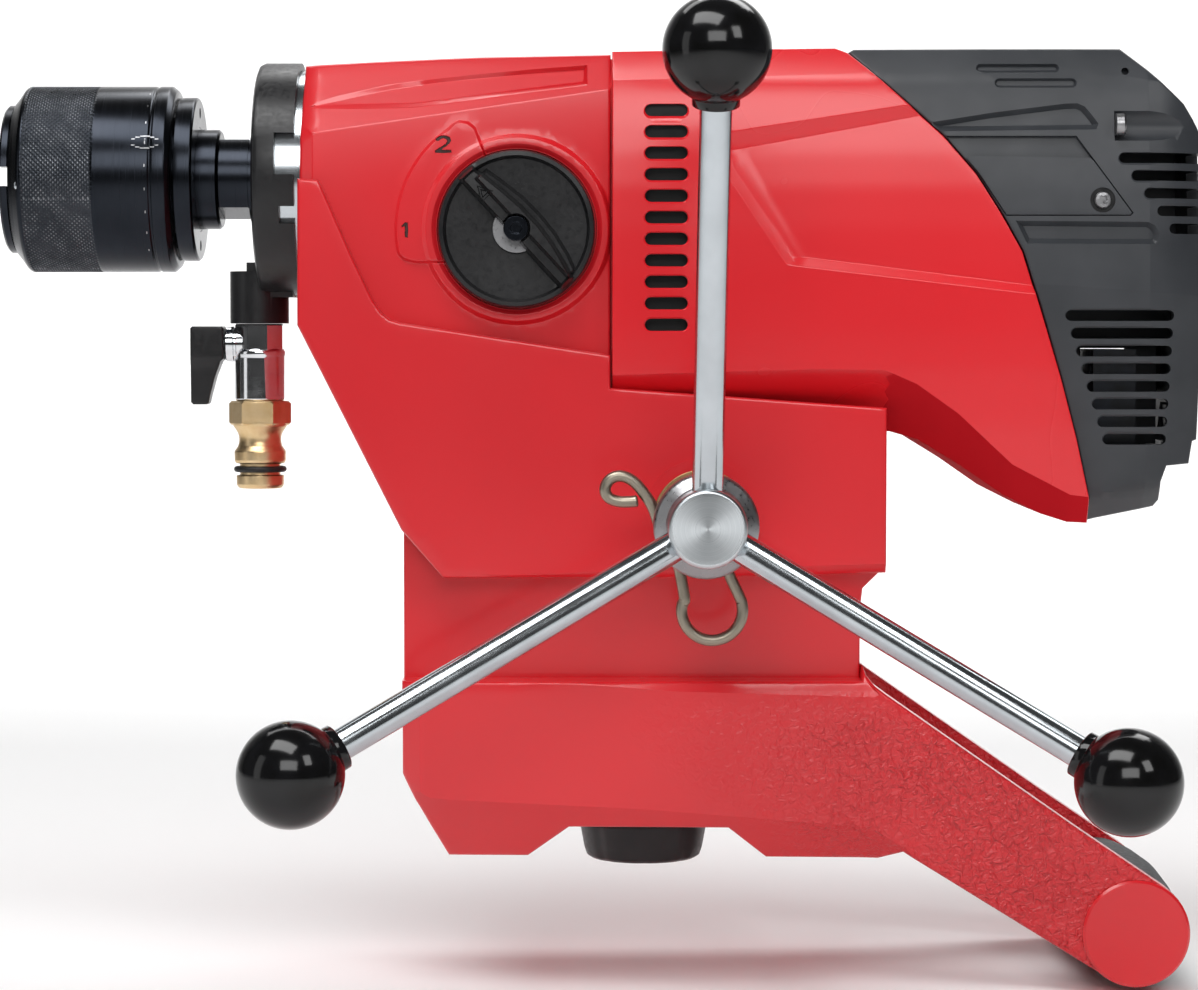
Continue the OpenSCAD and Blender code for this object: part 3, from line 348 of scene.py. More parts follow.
def skin(name, outline, base, feats=(), creases=(), step=3.0, r=0.8, both=True, depth=None, thin=0.3):
    """Closed solid whose sides are the lifted field y = -base(x, z) over the outline; mirrored when both."""
    o = subdiv(ccw(outline), step, True); V = []; E = []
    def put(pl, closed):
        b = len(V); V.extend(pl); n = len(pl)
        E.extend((b + i, b + (i + 1) % n) for i in range(n if closed else n - 1))
    put(o, True)
    rings = [r * k for k in (0.12, 0.42, 1.0)] if r else []
    for d in rings: put(inset(o, d), True)
    for f in feats:
        for l, c in f.lines(): put(subdiv(l, step, c), c)
    for l in creases:
        l = vecs(l)
        for d in (0, thin, -thin): put(subdiv(shift_line(l, d) if d else l, step, False), False)
    kd = kdtree.KDTree(len(V))
    for i, v in enumerate(V): kd.insert((v.x, v.y, 0), i)
    kd.balance()
    P = pol(o); (x0, z0), (x1, z1) = P.min(0), P.max(0)
    gx, gz = np.meshgrid(np.arange(x0, x1, step), np.arange(z0, z1, step * 0.87))
    gx[1::2] += step / 2
    gx = gx.ravel(); gz = gz.ravel(); k = is_in(gx, gz, o); gx = gx[k]; gz = gz[k]
    for x, z in zip(gx, gz):
        if kd.find((x, z, 0))[2] > step * 0.55: V.append(Vector((x, z)))
    res = delaunay_2d_cdt(V, E, [], 0, 1e-4)
    C = np.array([(v.x, v.y) for v in res[0]]); F = np.array([f for f in res[2] if len(f) == 3])
    cen = C[F].mean(1); k = is_in(cen[:, 0], cen[:, 1], o); F = F[k]
    a = C[F[:, 0]]; b = C[F[:, 1]]; c = C[F[:, 2]]
    ar = (b[:, 0]-a[:, 0])*(c[:, 1]-a[:, 1]) - (b[:, 1]-a[:, 1])*(c[:, 0]-a[:, 0])
    F[ar < 0] = F[ar < 0][:, ::-1]
    used = np.unique(F); remap = -np.ones(len(C), int); remap[used] = np.arange(len(used)); F = remap[F]; C = C[used]
    X, Z = C[:, 0], C[:, 1]
    h = base(X, Z)
    for f in feats: h = h + f.add(X, Z)
    if r:
        d = seg_dist(X, Z, o); h = h - np.where(d < r, r - np.sqrt(np.maximum(0, r*r - (r - d)**2)), 0)
    n = len(C); y2 = (h if both else np.full(n, -float(depth)))
    verts = np.concatenate([np.stack([X, -h, Z], 1), np.stack([X, y2, Z], 1)]) * MM
    # seen from -Y the counter-clockwise X-Z order faces -Y
    faces = [tuple(f) for f in F.tolist()] + [(f[2] + n, f[1] + n, f[0] + n) for f in F.tolist()]
    cnt = {}
    for f in F.tolist():
        for i in range(3): cnt[(f[i], f[(i+1) % 3])] = 1
    for (p, q) in list(cnt):
        if (q, p) not in cnt: faces.append((q, p, p + n, q + n))
    ob = new_obj(name, verts, faces, True)
    bm = bmesh.new(); bm.from_mesh(ob.data); bmesh.ops.remove_doubles(bm, verts=bm.verts, dist=1e-6)
    bmesh.ops.dissolve_degenerate(bm, dist=1e-6, edges=bm.edges); bmesh.ops.recalc_face_normals(bm, faces=bm.faces)
    bm.to_mesh(ob.data); bm.free(); ob.data.update()
    return ob

def prism_data(loops, cap=True):
    """Verts and faces of a closed tube through rings of equal length."""
    n = len(loops[0]); v = [p for l in loops for p in l]; f = []
    for k in range(len(loops) - 1):
        for i in range(n): j = (i + 1) % n; f.append((k*n+i, k*n+j, (k+1)*n+j, (k+1)*n+i))
    if cap: f.append(tuple(range(n))[::-1]); f.append(tuple((len(loops)-1)*n + i for i in range(n)))
    return v, f
def join_data(parts):
    V = []; F = []
    for v, f in parts:
        b = len(V); V += [tuple(p) for p in v]; F += [tuple(i + b for i in q) for q in f]
    return V, F
def solid(name, parts, smooth=True):
    V, F = join_data(parts)
    ob = new_obj(name, [tuple(c * MM for c in v) for v in V], F, smooth)
    bm = bmesh.new(); bm.from_mesh(ob.data); bmesh.ops.recalc_face_normals(bm, faces=bm.faces); bm.to_mesh(ob.data); bm.free()
    return ob
def slot_pts(x0, x1, z, h, g=0.0, n=8):
    r = h / 2; cx0, cx1 = x0 + r, x1 - r; R = r + g
    return [(cx1 + R * math.cos(a), z + R * math.sin(a)) for a in [math.radians(-90 + 180 * i / n) for i in range(n + 1)]] + \
           [(cx0 + R * math.cos(a), z + R * math.sin(a)) for a in [math.radians(90 + 180 * i / n) for i in range(n + 1)]]
def grow(pts, g): return [(v.x, v.y) for v in inset(ccw(pts), -g)]
def y_cut(pts_fn, y, s=-1, deep=9.0, ch=0.45):
    """Prism through a side wall at height y with a chamfered mouth; pts_fn(g) gives the loop grown by g."""
    L = [(ch + 0.8, y + 0.8), (ch, y), (0, y - ch), (0, y - deep)]
    return prism_data([[(p[0], s * yy, p[1]) for p in pts_fn(g)] for g, yy in L])
def box_data(x0, x1, y0, y1, z0, z1):
    return prism_data([[(x0, y0, z), (x1, y0, z), (x1, y1, z), (x0, y1, z)] for z in (z0, z1)])
def cyl_x(x0, x1, r, y, z, n=48): return prism_data([[(x, y + r*math.cos(2*math.pi*i/n), z + r*math.sin(2*math.pi*i/n)) for i in range(n)] for x in (x0, x1)])
def cyl_y(y0, y1, r, x, z, n=48): return prism_data([[(x + r*math.cos(2*math.pi*i/n), y, z + r*math.sin(2*math.pi*i/n)) for i in range(n)] for y in (y0, y1)])
def cut(ob, other, op="DIFFERENCE"):
    m = ob.modifiers.new("b", "BOOLEAN"); m.object = other; m.operation = op; m.solver = "EXACT"
    dg = bpy.context.evaluated_depsgraph_get(); me = bpy.data.meshes.new_from_object(ob.evaluated_get(dg), depsgraph=dg)
    ob.modifiers.clear(); ob.data = me; bpy.data.objects.remove(other, do_unlink=True)
    bm = bmesh.new(); bm.from_mesh(ob.data); bmesh.ops.remove_doubles(bm, verts=bm.verts, dist=2e-6)
    bmesh.ops.dissolve_degenerate(bm, dist=2e-6, edges=bm.edges)
    for e in [e for e in bm.edges if not e.link_faces]: bm.edges.remove(e)
    for v in [v for v in bm.verts if not v.link_faces]: bm.verts.remove(v)
    bm.to_mesh(ob.data); bm.free()
    if len(ob.data.polygons) < 12: raise RuntimeError("boolean emptied " + ob.name)
    return ob
def dress(ob, body, slotname, nodes, split=38, mat=None, weighted=True):
    if mat is not False: give(ob, mat or MATS[slotname])
    for p in ob.data.polygons: p.use_smooth = True
    if weighted:
        w = ob.modifiers.new("weighted", "WEIGHTED_NORMAL"); w.keep_sharp = True; w.weight = 60
        bm = bmesh.new(); bm.from_mesh(ob.data)
        for e in bm.edges:
            if len(e.link_faces) == 2 and e.calc_face_angle(0) > math.radians(split): e.smooth = False
        bm.to_mesh(ob.data); bm.free()
    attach(ob, body)
    if nodes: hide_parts(*nodes)
    return ob

# ------------------------------------------------------------ motor housing
KX, KZ = -39.3, 146.2
SEAM = [(71.5,205.6),(78.1,200),(91.5,187.9),(103.2,177.2),(114,164.7),(122.4,151.4),(129.5,138.7),(136,117.9),(142.5,96.5),(148,76.1),(152.6,55.8),(153,47.5)]
FLANK_Z = [40, 60, 80, 100, 112, 124, 132, 146, 160, 172, 182, 190, 196, 202, 209]
FLANK_Y = [49.5, 51.2, 52.6, 53.5, 53.85, 54.0, 54.0, 53.75, 53.2, 52.3, 51.2, 49.9, 48.4, 44.6, 39.6]
def flank(X, Z): return np.interp(Z, FLANK_Z, FLANK_Y)
UNDER = [(-9, 97.5), (62.3, 99.6), (83.8, 99.2), (94.5, 94.5), (108.3, 84.7), (126.6, 67.6), (146.1, 57.4), (156, 56.2)]
def under(X, Z, line=UNDER, k=0.87):
    zl = np.interp(X, [p[0] for p in line], [p[1] for p in line])
    return np.maximum(0, zl - Z) * k
def build_motor():
    out = [(-7.4,87),(-7.4,206),(30,206.7),(67.5,207.2)] + SEAM + [(146.2,47.8),(137.6,50.5),(124.5,57.1),(110.3,66.9),(96.1,75.6),(86.9,78.2)]
    pent = [(31.5, 172.6), (93.5, 184.4), (124, 154), (137, 127.2), (122.1, 128.8), (51.6, 136.4)]
    pw = [(30.0, 175.5), (89.0, 188.6), (101, 192), (150, 150), (142, 123.2), (122.1, 125.6), (49.6, 133.4)]
    # sunk plane: the wall width differs by side, so it is built as a plane clipped by two ramps
    def base(X, Z):
        h = flank(X, Z) - under(X, Z)
        def ramp(a, b, w0, w1):
            # distance below/right of the line a-b over a local width
            (ax, az), (bx, bz) = a, b; L = math.hypot(bx-ax, bz-az); nx, nz = (bz-az)/L, -(bx-ax)/L
            d = (X-ax)*nx + (Z-az)*nz; t = np.clip(((X-ax)*(bx-ax)+(Z-az)*(bz-az))/L/L, -0.2, 1.3)
            return d / (w0 + (w1-w0)*t)
        up = ramp((29.5, 178.2), (91.3, 187.6), 5.4, 3.4)
        lf = ramp((51.1, 134.0), (30.5, 165.0), 5.6, 6.2)
        lo = ramp((140, 123.8), (50.0, 134.4), 2.6, 3.2)
        m = np.minimum(np.minimum(up, lf), lo)
        return h - 1.7 * np.clip(m, 0, 1)
    crs = [[(24, 176.6), (29.5, 178.2), (93, 188.0)], [(24, 171.0), (33, 172.4), (98, 184.4)],
           [(50.5, 134.2), (27.5, 168.9)], [(52.6, 137.0), (30.4, 170.9)],
           [(142, 123.6), (50.5, 134.3)], [(142, 126.2), (52.5, 137.2)],
           UNDER, [(-9, 196.0), (90, 199.5)]]
    ob = skin("motor_housing_shell", out, base, creases=crs, step=3.0, r=0.45)
    inn = [(-12,95),(-12,201),(66,202.6),(170,203),(170,52),(147,52),(138.6,54.8),(126.5,61.2),(112,71.2),(97.4,80),(87.6,83)]
    core = skin("core_tmp", inn, lambda X, Z: np.minimum(flank(X, Z), 53) - 4.0 - under(X, Z, [(a, b + 4.6) for a, b in UNDER]), step=5.0, r=0)
    cut(ob, core)
    for s in (-1, 1): cut(ob, solid("baffle", [box_data(0.8, 22, min(s*45.6, s*47.4), max(s*45.6, s*47.4), 100, 197)]), "UNION")
    parts = []
    for i in range(11):
        z = 185.9 - 7.16 * i; y = float(np.interp(z, FLANK_Z, FLANK_Y))
        for s in (-1, 1): parts.append(y_cut(lambda g, z=z: slot_pts(3.5, 17.8, z, 4.1, g), y, s, y - 47.6))
    cut(ob, solid("slots_tmp", parts))
    dress(ob, "frame", "red_plastic", ["motor_housing"])
    # black second slot: painted shade for the baffles and inner walls behind the vent slots
    ob.data.materials.append(MATS["black_plastic"])
    ob.data.materials.append(MATS["red_matte"])
    for p in ob.data.polygons:
        c = p.center / MM
        # faces behind the vents take black: painted shade in the vent slots
        if 0.7 < c.x < 22.1 and 99.9 < c.z < 197.1 and abs(c.y) < float(np.interp(c.z, FLANK_Z, FLANK_Y)) - 1.4: p.material_index = 1
        # downward faces at the rear of the motor take the darker red copy: painted shade on the underside
        elif p.normal.z < -0.55 and p.center.x > 0.085: p.material_index = 2
build_motor()

# ------------------------------------------------------------ gear housing
def place(poly, x, z, w, h, rot=0.0):
    c, s_ = math.cos(math.radians(rot)), math.sin(math.radians(rot))
    return [(x + (u-0.5)*w*c - (v-0.5)*h*s_, z + (u-0.5)*w*s_ + (v-0.5)*h*c) for u, v in poly]
NUM2 = [(0,0),(1,0),(1,0.2),(0.42,0.2),(0.85,0.5),(1.0,0.7),(0.9,0.9),(0.65,1.0),(0.35,1.0),(0.1,0.9),(0,0.7),(0.25,0.66),(0.35,0.78),(0.5,0.82),(0.7,0.76),(0.72,0.64),(0.6,0.5),(0,0.16)]
NUM1 = [(0.35,0),(0.75,0),(0.75,1),(0.4,1),(0,0.8),(0,0.6),(0.35,0.74)]
def arc(x, z, r, a0, a1, n): return [(x + r*math.cos(math.radians(a0+(a1-a0)*i/n)), z + r*math.sin(math.radians(a0+(a1-a0)*i/n))) for i in range(n+1)]
def build_gear():
    zb = lambda X: 178.4 + (X + 107.8) * 0.1459
    def base(X, Z):
        t = np.clip((Z - (zb(X) - 24)) / 24, 0, 1)
        h = 48 - 0.9 * t * t - 0.80 * np.maximum(0, Z - zb(X)) - 0.62 * np.maximum(0, -107.8 - X)
        return h
    wedge = [(-113.5, 187.2), (-100, 191.2), (-82.9, 195), (-68, 197.1), (-53.6, 198.6), (-35, 200.3), (-15.7, 201.7), (-15.7, 194.6), (-41.9, 191.4), (-60, 188.9), (-73.6, 187.3), (-95, 187.0)]
    ear = arc(KX, KZ, 41.2, 190, 124, 16) + [(KX-21.4, KZ+35.9), (KX-19.0, KZ+36.8), (KX-16.0, KZ+36.2), (KX-13.6, KZ+34.2), (KX-11.5, KZ+29), (KX, KZ)] + [(KX-24, KZ-11.6), (KX-34, KZ-11.6), (KX-38.4, KZ-10.4), (KX-40.2, KZ-8.6)]
    n2 = place(NUM2, KX - 24.6, KZ + 28.4, 5.6, 6.0, 0)
    n1 = place(NUM1, KX - 37.1, KZ - 0.2, 3.0, 5.2, 0)
    feats = [Step(wedge, 1.3, lambda X, Z: -np.interp(X, [-114, -15], [0.15, 2.3])),
             Step(ear, 1.3, 1.3, 1), Step(circle(KX, KZ, 32.2, 96), 1.9, lambda X, Z: 1.1 + 1.2 * (~is_in(X, Z, inset(ccw(ear), 0.6))), 1),
             Step(circle(KX, KZ, 28.4, 96), 1.2, -0.8), Step(circle(KX, KZ, 26.9, 96), 0.3, -1.6),
             Step(n2, 0.22, -0.55), Step(n1, 0.22, -0.55)]
    out = [(-103.6,97),(-112.4,114.4),(-112.4,163),(-111.8,202.4),(-85.7,203.7),(-53.8,204.9),(-7.9,205.4),(-7.9,97)]
    ob = skin("gear_housing_casting", out, base, feats, creases=[[(-107.8, 90), (-107.8, 178.4), (-6, 193.25)], [(-107.8, 178.4), (-113, 183)]], step=3.0, r=1.0)
    parts = [box_data(-95, -6, -38, 38, 106, 180), box_data(-95.5, -6.2, -27, 27, 150, 198)]
    for p in parts[:1]: cut(ob, solid("c1", [p]))
    cut(ob, solid("c2", [parts[1]]))
    cut(ob, solid("c3", [cyl_x(-114, -94, 22.7, 0, 165, 72)]))
    cut(ob, solid("c4", [cyl_y(-60, -30, 8.1, KX, KZ)]))
    lip = solid("lip", [prism_data([[(x, -46, 89.5), (x, 46, 89.5), (x, 46, 194), (x, 37, 203.8), (x, -37, 203.8), (x, -46, 194)] for x in (-8.95, -7.45)])]); cut(ob, lip, "UNION")
    cut(ob, solid("c5", [box_data(-30, -6, -37, 37, 107, 179)]))
    dress(ob, "frame", "red_casting", ["gear_housing"])
    ink = bpy.data.materials["numeral_fill"]; ob.data.materials.append(ink)
    for p in ob.data.polygons:
        c = p.center / MM
        if c.y < -45 and abs(c.x - KX) < 45:
            X = np.array([c.x]); Z = np.array([c.z])
            if is_in(X, Z, inset(ccw(n2), 0.1))[0] or is_in(X, Z, inset(ccw(n1), 0.1))[0]: p.material_index = 1
m = M("numeral_fill", (0.030, 0.014, 0.010), 0.55); m.tint(m.noise(900, 3), (0.02, 0.010, 0.008), (0.06, 0.02, 0.016)); m.roughness(m.noise(500), 0.45, 0.7)
build_gear()

# ------------------------------------------------------------ rear cover
REAR = [(152.9,47.6),(153.2,56)] + [(a + 0.55, b) for a, b in reversed(SEAM[1:-2])] + [(72.2,205.9),(74,207),(120,207.2),(163.7,207.2),(172.7,199.4),(184.5,188.4),(187.8,183.2),(192.3,174.9),(193.2,146.2),
         (190.5,91.8),(190.2,75.6),(188.6,75.1),(187.5,67.5),(179.4,66.9),(177.5,61.5),(178.2,55),(176.7,52.7),(157.1,48.6)]
PANEL = [(103.9,177.4),(147.7,177.4),(166.6,151.6),(165.6,150.6),(124,150.6),(114.6,164.9)]
def rear_base(X, Z):
    h = flank(X, Z) - 0.9
    zc = np.interp(X, [120, 132, 186, 200], [128.6, 128.0, 124.3, 123])
    h = h - 0.075 * np.maximum(0, zc - Z) - 0.03 * np.maximum(0, Z - zc)
    h = h - np.where(X > 172, 0.018 * (X - 172)**2 + 0.10 * (X - 172), 0)
    bot = np.interp(X, [150, 157, 178, 195], [55.5, 57.5, 61, 62])
    return h - np.maximum(0, bot - Z) * 1.3
def stadium(x0, x1, z, h): return slot_pts(x0, x1, z, h)
def build_rear():
    r1 = [(98.5,181.8),(102.4,178.9),(154.3,179.5),(155.1,181.5),(152.4,185.1),(150.6,187.2),(148.2,188.3),(144.1,188.2),(120,185.2)]
    r2 = [(127.2,149),(171.5,148.6),(173.8,147.4),(175.2,144.9),(174.9,142.2),(173.6,141.2),(131,141.4)]
    feats = [Step(PANEL, 0.35, -2.0), Step(r1, 1.7, -2.1), Step(r2, 1.7, -2.1),
             Step(stadium(114.7, 142.6, 200.3, 3.2), 0.8, -1.5), Step(stadium(120.6, 148.2, 195.2, 3.2), 0.8, -1.5),
             Step(circle(164.7, 199.3, 1.3, 20), 0.3, -3.0)]
    crs = [[(118, 128.8), (132, 128.0), (186, 124.3), (194, 123.8)], [(74, 198.8), (150, 200.5), (190, 193)], [(172, 44), (172, 207)]]
    ob = skin("rear_cover_shell", REAR, rear_base, feats, creases=crs, step=3.0, r=0.7)
    inn = [(60,202.4),(60,53),(157,53),(172.6,57.6),(174,64),(175.6,70.4),(183.4,71.4),(185,79),(186.4,92),(189,146),(188.3,173.6),(184,181),(181.4,185),(170,195.6),(162,202.6)]
    core = skin("core_tmp2", inn, lambda X, Z: rear_base(X, Z) - 4.2, step=5.0, r=0)
    cut(ob, core)
    parts = []
    for s in (-1, 1):
        for i in range(8):
            z = 117.4 - i*5.93; x0 = 144.1 + i*1.9; x1 = 180.6 - i*0.25
            y = float(rear_base(np.array([170.0]), np.array([z]))[0])
            parts.append(y_cut(lambda g, z=z, x0=x0, x1=x1: slot_pts(x0, x1, z, 3.6, g), y, s, 9.0, 0.4))
        for i in range(5):
            z = 170 - i*5.9; x0 = 161.9 + i*4.2
            y = float(rear_base(np.array([172.0]), np.array([z]))[0])
            parts.append(y_cut(lambda g, z=z, x0=x0: slot_pts(x0, 204, z, 3.5, g), y, s, 26.0, 0.4))
    cut(ob, solid("slots_tmp2", parts))
    for s in (-1, 1):
        cut(ob, solid("back", [box_data(158.5, 174, min(s*43.6, s*46.5), max(s*43.6, s*46.5), 173.5, 187)]), "UNION")
        cut(ob, solid("chan", [cyl_x(160.4, 204, 5.6, s*51.0, 181.1, 40)]))
        cut(ob, solid("scr", [cyl_y(s*54, s*44, 2.3, 156.3, 155.9, 32)]))
    cut(ob, solid("rock", [box_data(184, 200, -11, 11, 73.3, 87.5)]))
    cut(ob, solid("gland", [cyl_x(180, 200, 9.0, 24, 100)]))
    web = [(144.5,64),(156,64),(156,106.3),(171.5,106.3),(171.5,73),(182.5,73),(182.5,107.5),(188.0,107.5),(189.6,146),(188.9,173.6),(184.6,182.6),(170.6,197),(162.8,204),(137.5,204),(137.5,107.5)]
    w = solid("web", [prism_data([[(x, y, z) for x, z in web] for y in (-1, 1)])]); cut(ob, w, "UNION")
    dress(ob, "frame", "charcoal_plastic", ["rear_cover"])
    pan = []
    for s in (-1, 1):
        p = skin("pan", inset(ccw(PANEL), 0.28), lambda X, Z: rear_base(X, Z) + 0.05, step=3.0, r=0.45)
        cut(p, solid("half", [box_data(90, 180, -50.3*1 if s < 0 else -70, 70 if s < 0 else 50.3, 140, 190)]))
        cut(p, solid("scr2", [cyl_y(s*60, s*50.9, 4.2, 156.3, 155.9, 48)]))
        pan.append(p)
    for k, p in zip("ab", pan):
        p.name = "brush_cover_" + k
        dress(p, "frame", "charcoal_plastic", ["brush_covers"])
        # black second slot for the screw counterbore: a painted shadow ring around the cover screw
        p.data.materials.append(MATS["black_plastic"])
        for f in p.data.polygons:
            c = f.center / MM
            if math.hypot(c.x - 156.3, c.z - 155.9) < 4.26 and (abs(f.normal.y) < 0.3 or abs(c.y) < 51.0): f.material_index = 1
build_rear()

# ------------------------------------------------------------ selector knob
def build_knob():
    a = math.radians(133)
    def rot(pts): return [(KX + u*math.cos(a) - v*math.sin(a), KZ + u*math.sin(a) + v*math.cos(a)) for u, v in pts]
    bar = rot([(-25.2,-2.9),(-19,-4.6),(-12,-6.0),(-5,-6.8),(4,-6.8),(12,-6.0),(19,-4.9),(25.2,-3.6),(25.4,0),(25.2,3.0),(-25.2,3.0),(-25.4,0)])
    led = rot([(-24.0,-5.2),(-18,-7.2),(-10,-8.8),(-3,-9.4),(6,-9.2),(16,-7.6),(21.5,-6.4),(21.5,-1),(-24,-1)])
    tri = rot([(19.2,-0.2),(14.0,2.6),(14.0,-3.0)]); tri_in = rot([(17.6,-0.2),(14.9,1.3),(14.9,-1.7)])
    rim = circle(KX, KZ, 26.2, 96)
    def base(X, Z):
        r = np.hypot(X-KX, Z-KZ)
        return 57.0 - 1.2 * np.clip((r-24.9)/1.3, 0, 1)**2 - 0.9 * np.clip(1 - r/23.0, 0, 1)
    feats = [Step(circle(KX, KZ, 24.4, 96), 1.0, -2.4, 1), Step(led, 1.2, 3.4, 1), Step(bar, 1.5, lambda X, Z: 7.0 - 0.0035*((X-KX)**2+(Z-KZ)**2), 1),
             Step(tri, 0.3, -0.5), Step(tri_in, 0.3, 0.5), Step(circle(KX, KZ, 4.9, 40), 0.5, -4.2)]
    ob = skin("selector_knob_grip", rim, base, feats, step=2.0, r=0.5, both=False, depth=51.2)
    dress(ob, "selector", "black_plastic", ["selector_knob"])
build_knob()

# ------------------------------------------------------------ turned parts
def lathe(name, prof, axis="x", c=(0, 0), n=96, smooth_n=1):
    """Closed solid of revolution in millimetres; prof is [(along, radius), ...] from axis to axis."""
    L = []
    for a, r in prof:
        ring = []
        for i in range(n):
            t = 2 * math.pi * i / n
            ring.append((a, c[0] + r*math.cos(t), c[1] + r*math.sin(t)) if axis == "x" else
                        ((c[0] + r*math.cos(t), a, c[1] + r*math.sin(t)) if axis == "y" else (c[0] + r*math.cos(t), c[1] + r*math.sin(t), a)))
        L.append(ring)
    return solid(name, [prism_data(L)])
def fillet(p, r=0.5, k=4):
    """Rounds the corners of an open profile by at most r."""
    p = [Vector(q) for q in p]; out = [p[0]]
    for i in range(1, len(p) - 1):
        a = p[i-1] - p[i]; b = p[i+1] - p[i]
        rr = min(r, a.length * 0.45, b.length * 0.45)
        if a.length < 1e-6 or b.length < 1e-6 or abs(a.normalized().cross(b.normalized())) < 0.05: out.append(p[i]); continue
        q0 = p[i] + a.normalized()*rr; q1 = p[i] + b.normalized()*rr
        for j in range(k + 1):
            t = j / k; out.append(q0.lerp(p[i], t).lerp(p[i].lerp(q1, t), t))
    out.append(p[-1]); return [(v.x, v.y) for v in out]

def build_sleeve():
    SZ = 165.0; R = 32.2; n = 720; ax = []
    def add(x, r, kn=0.0): ax.append((x, r, kn))
    prof = fillet([(-213.8, 24.15), (-213.8, 26.4), (-212.0, 28.6), (-209.9, 31.6), (-208.9, R), (-208.4, R)], 0.5, 3)
    for x, r in prof: add(x, r)
    x = -208.2
    while x <= -184.75: add(x, R - 0.02, 1.0); x += 0.28
    for x_, r in fillet([(-184.6, R), (-183.9, R), (-165.3, R), (-164.9, R-0.45), (-164.3, R-0.45), (-163.9, R), (-159.8, R), (-157.9, 30.6), (-157.5, 29.2), (-157.5, 24.15)], 0.35, 3): add(x_, r)
    V = []; F = []
    for x, r, kn in ax:
        for i in range(n):
            t = 2*math.pi*i/n; rr = r
            if kn:
                u = i / n * 120; w = (x + 208.2) / 1.68
                d1 = abs(((u + w) % 1.0) - 0.5) * 2; d2 = abs(((u - w) % 1.0) - 0.5) * 2
                rr = r - 0.50 * (1 - min(1.0, min(d1, d2) * 2.0))
            V.append((x*MM, rr*math.cos(t)*MM, (SZ + rr*math.sin(t))*MM))
    m = len(ax)
    for k in range(m - 1):
        for i in range(n): j = (i+1) % n; F.append((k*n+i, k*n+j, (k+1)*n+j, (k+1)*n+i))
    for i in range(n): j = (i+1) % n; F.append(((m-1)*n+i, (m-1)*n+j, j, i))
    ob = new_obj("lock_sleeve_knurled", V, F, True)
    bm = bmesh.new(); bm.from_mesh(ob.data); bmesh.ops.recalc_face_normals(bm, faces=bm.faces); bm.to_mesh(ob.data); bm.free()
    dress(ob, "lock_sleeve", "black_steel", ["chuck_sleeve"], split=50, weighted=False)
    ob.data.materials.append(knurl_mat())
    for p in ob.data.polygons:
        if -208.3 < p.center.x / MM < -184.7: p.material_index = 1
    # lock marks: two facing brackets and a row of short dashes, thin inlays
    parts = []
    def bar(a0, a1, x0, x1, h=0.07):
        L = []
        for k in range(5):
            t = math.radians(a0 + (a1-a0)*k/4)
            L.append([(x, -r*math.cos(t), SZ + r*math.sin(t)) for x, r in ((x0, R+h), (x1, R+h), (x1, R-0.3), (x0, R-0.3))])
        parts.append(prism_data(L))
    for a, sg in ((24.6, 1), (16.8, -1)):
        for x0, x1, da in ((-170.8, -169.6, -1.9), (-169.4, -168.0, -0.7), (-167.8, -164.6, 0.0), (-164.4, -163.0, -0.7), (-162.8, -161.6, -1.9)): bar(a + sg*da - 0.35, a + sg*da + 0.35, x0, x1)
    for k in range(9): bar(62 - 14.2*k, 63.6 - 14.2*k, -166.4, -166.05)
    for a in (22.4, 20.9, 19.4): bar(a, a + 0.6, -166.4, -166.0)
    mk = solid("sleeve_marks", parts); dress(mk, "lock_sleeve", "gear_steel", [], split=40)
    pin = solid("sleeve_pin", [prism_data([[(-209.6 + r*math.cos(2*math.pi*j/24), -(29.4 + d), SZ - 3.2 + 1.5*r*math.sin(2*math.pi*j/24)) for j in range(24)] for d, r in ((0, 1.05), (1.7, 1.05), (2.0, 0.8), (2.1, 0.3))])])
    dress(pin, "lock_sleeve", "bright_steel", [], split=40)
def knurl_mat():
    m = M("knurled_steel_painted_ridge_highlight", (0.04, 0.044, 0.052), 0.30, metal=1.0)
    m.tint(m.noise(90, 3), (0.032, 0.036, 0.043), (0.050, 0.054, 0.063)); m.roughness(m.noise(300, 2), 0.26, 0.36)
    # lighter ridges: painted highlight on the knurl
    m.edges((0.26, 0.27, 0.29), 0.9, 0.52, 0.58)
    return m.m
build_sleeve()

def tube(name, pts, r, n=16):
    """Round bar along a smooth path in millimetres, with domed ends."""
    P = [Vector(p) for p in pts]; L = []; T = []
    for i, p in enumerate(P):
        t = (P[min(i+1, len(P)-1)] - P[max(i-1, 0)]).normalized(); T.append(t)
    u = T[0].orthogonal().normalized()
    for i, p in enumerate(P):
        u = (u - T[i] * u.dot(T[i])).normalized(); v = T[i].cross(u)
        k = 0.6 if i in (0, len(P)-1) else 1.0
        L.append([tuple(p + (u*math.cos(2*math.pi*j/n) + v*math.sin(2*math.pi*j/n)) * r * k) for j in range(n)])
    return prism_data(L)

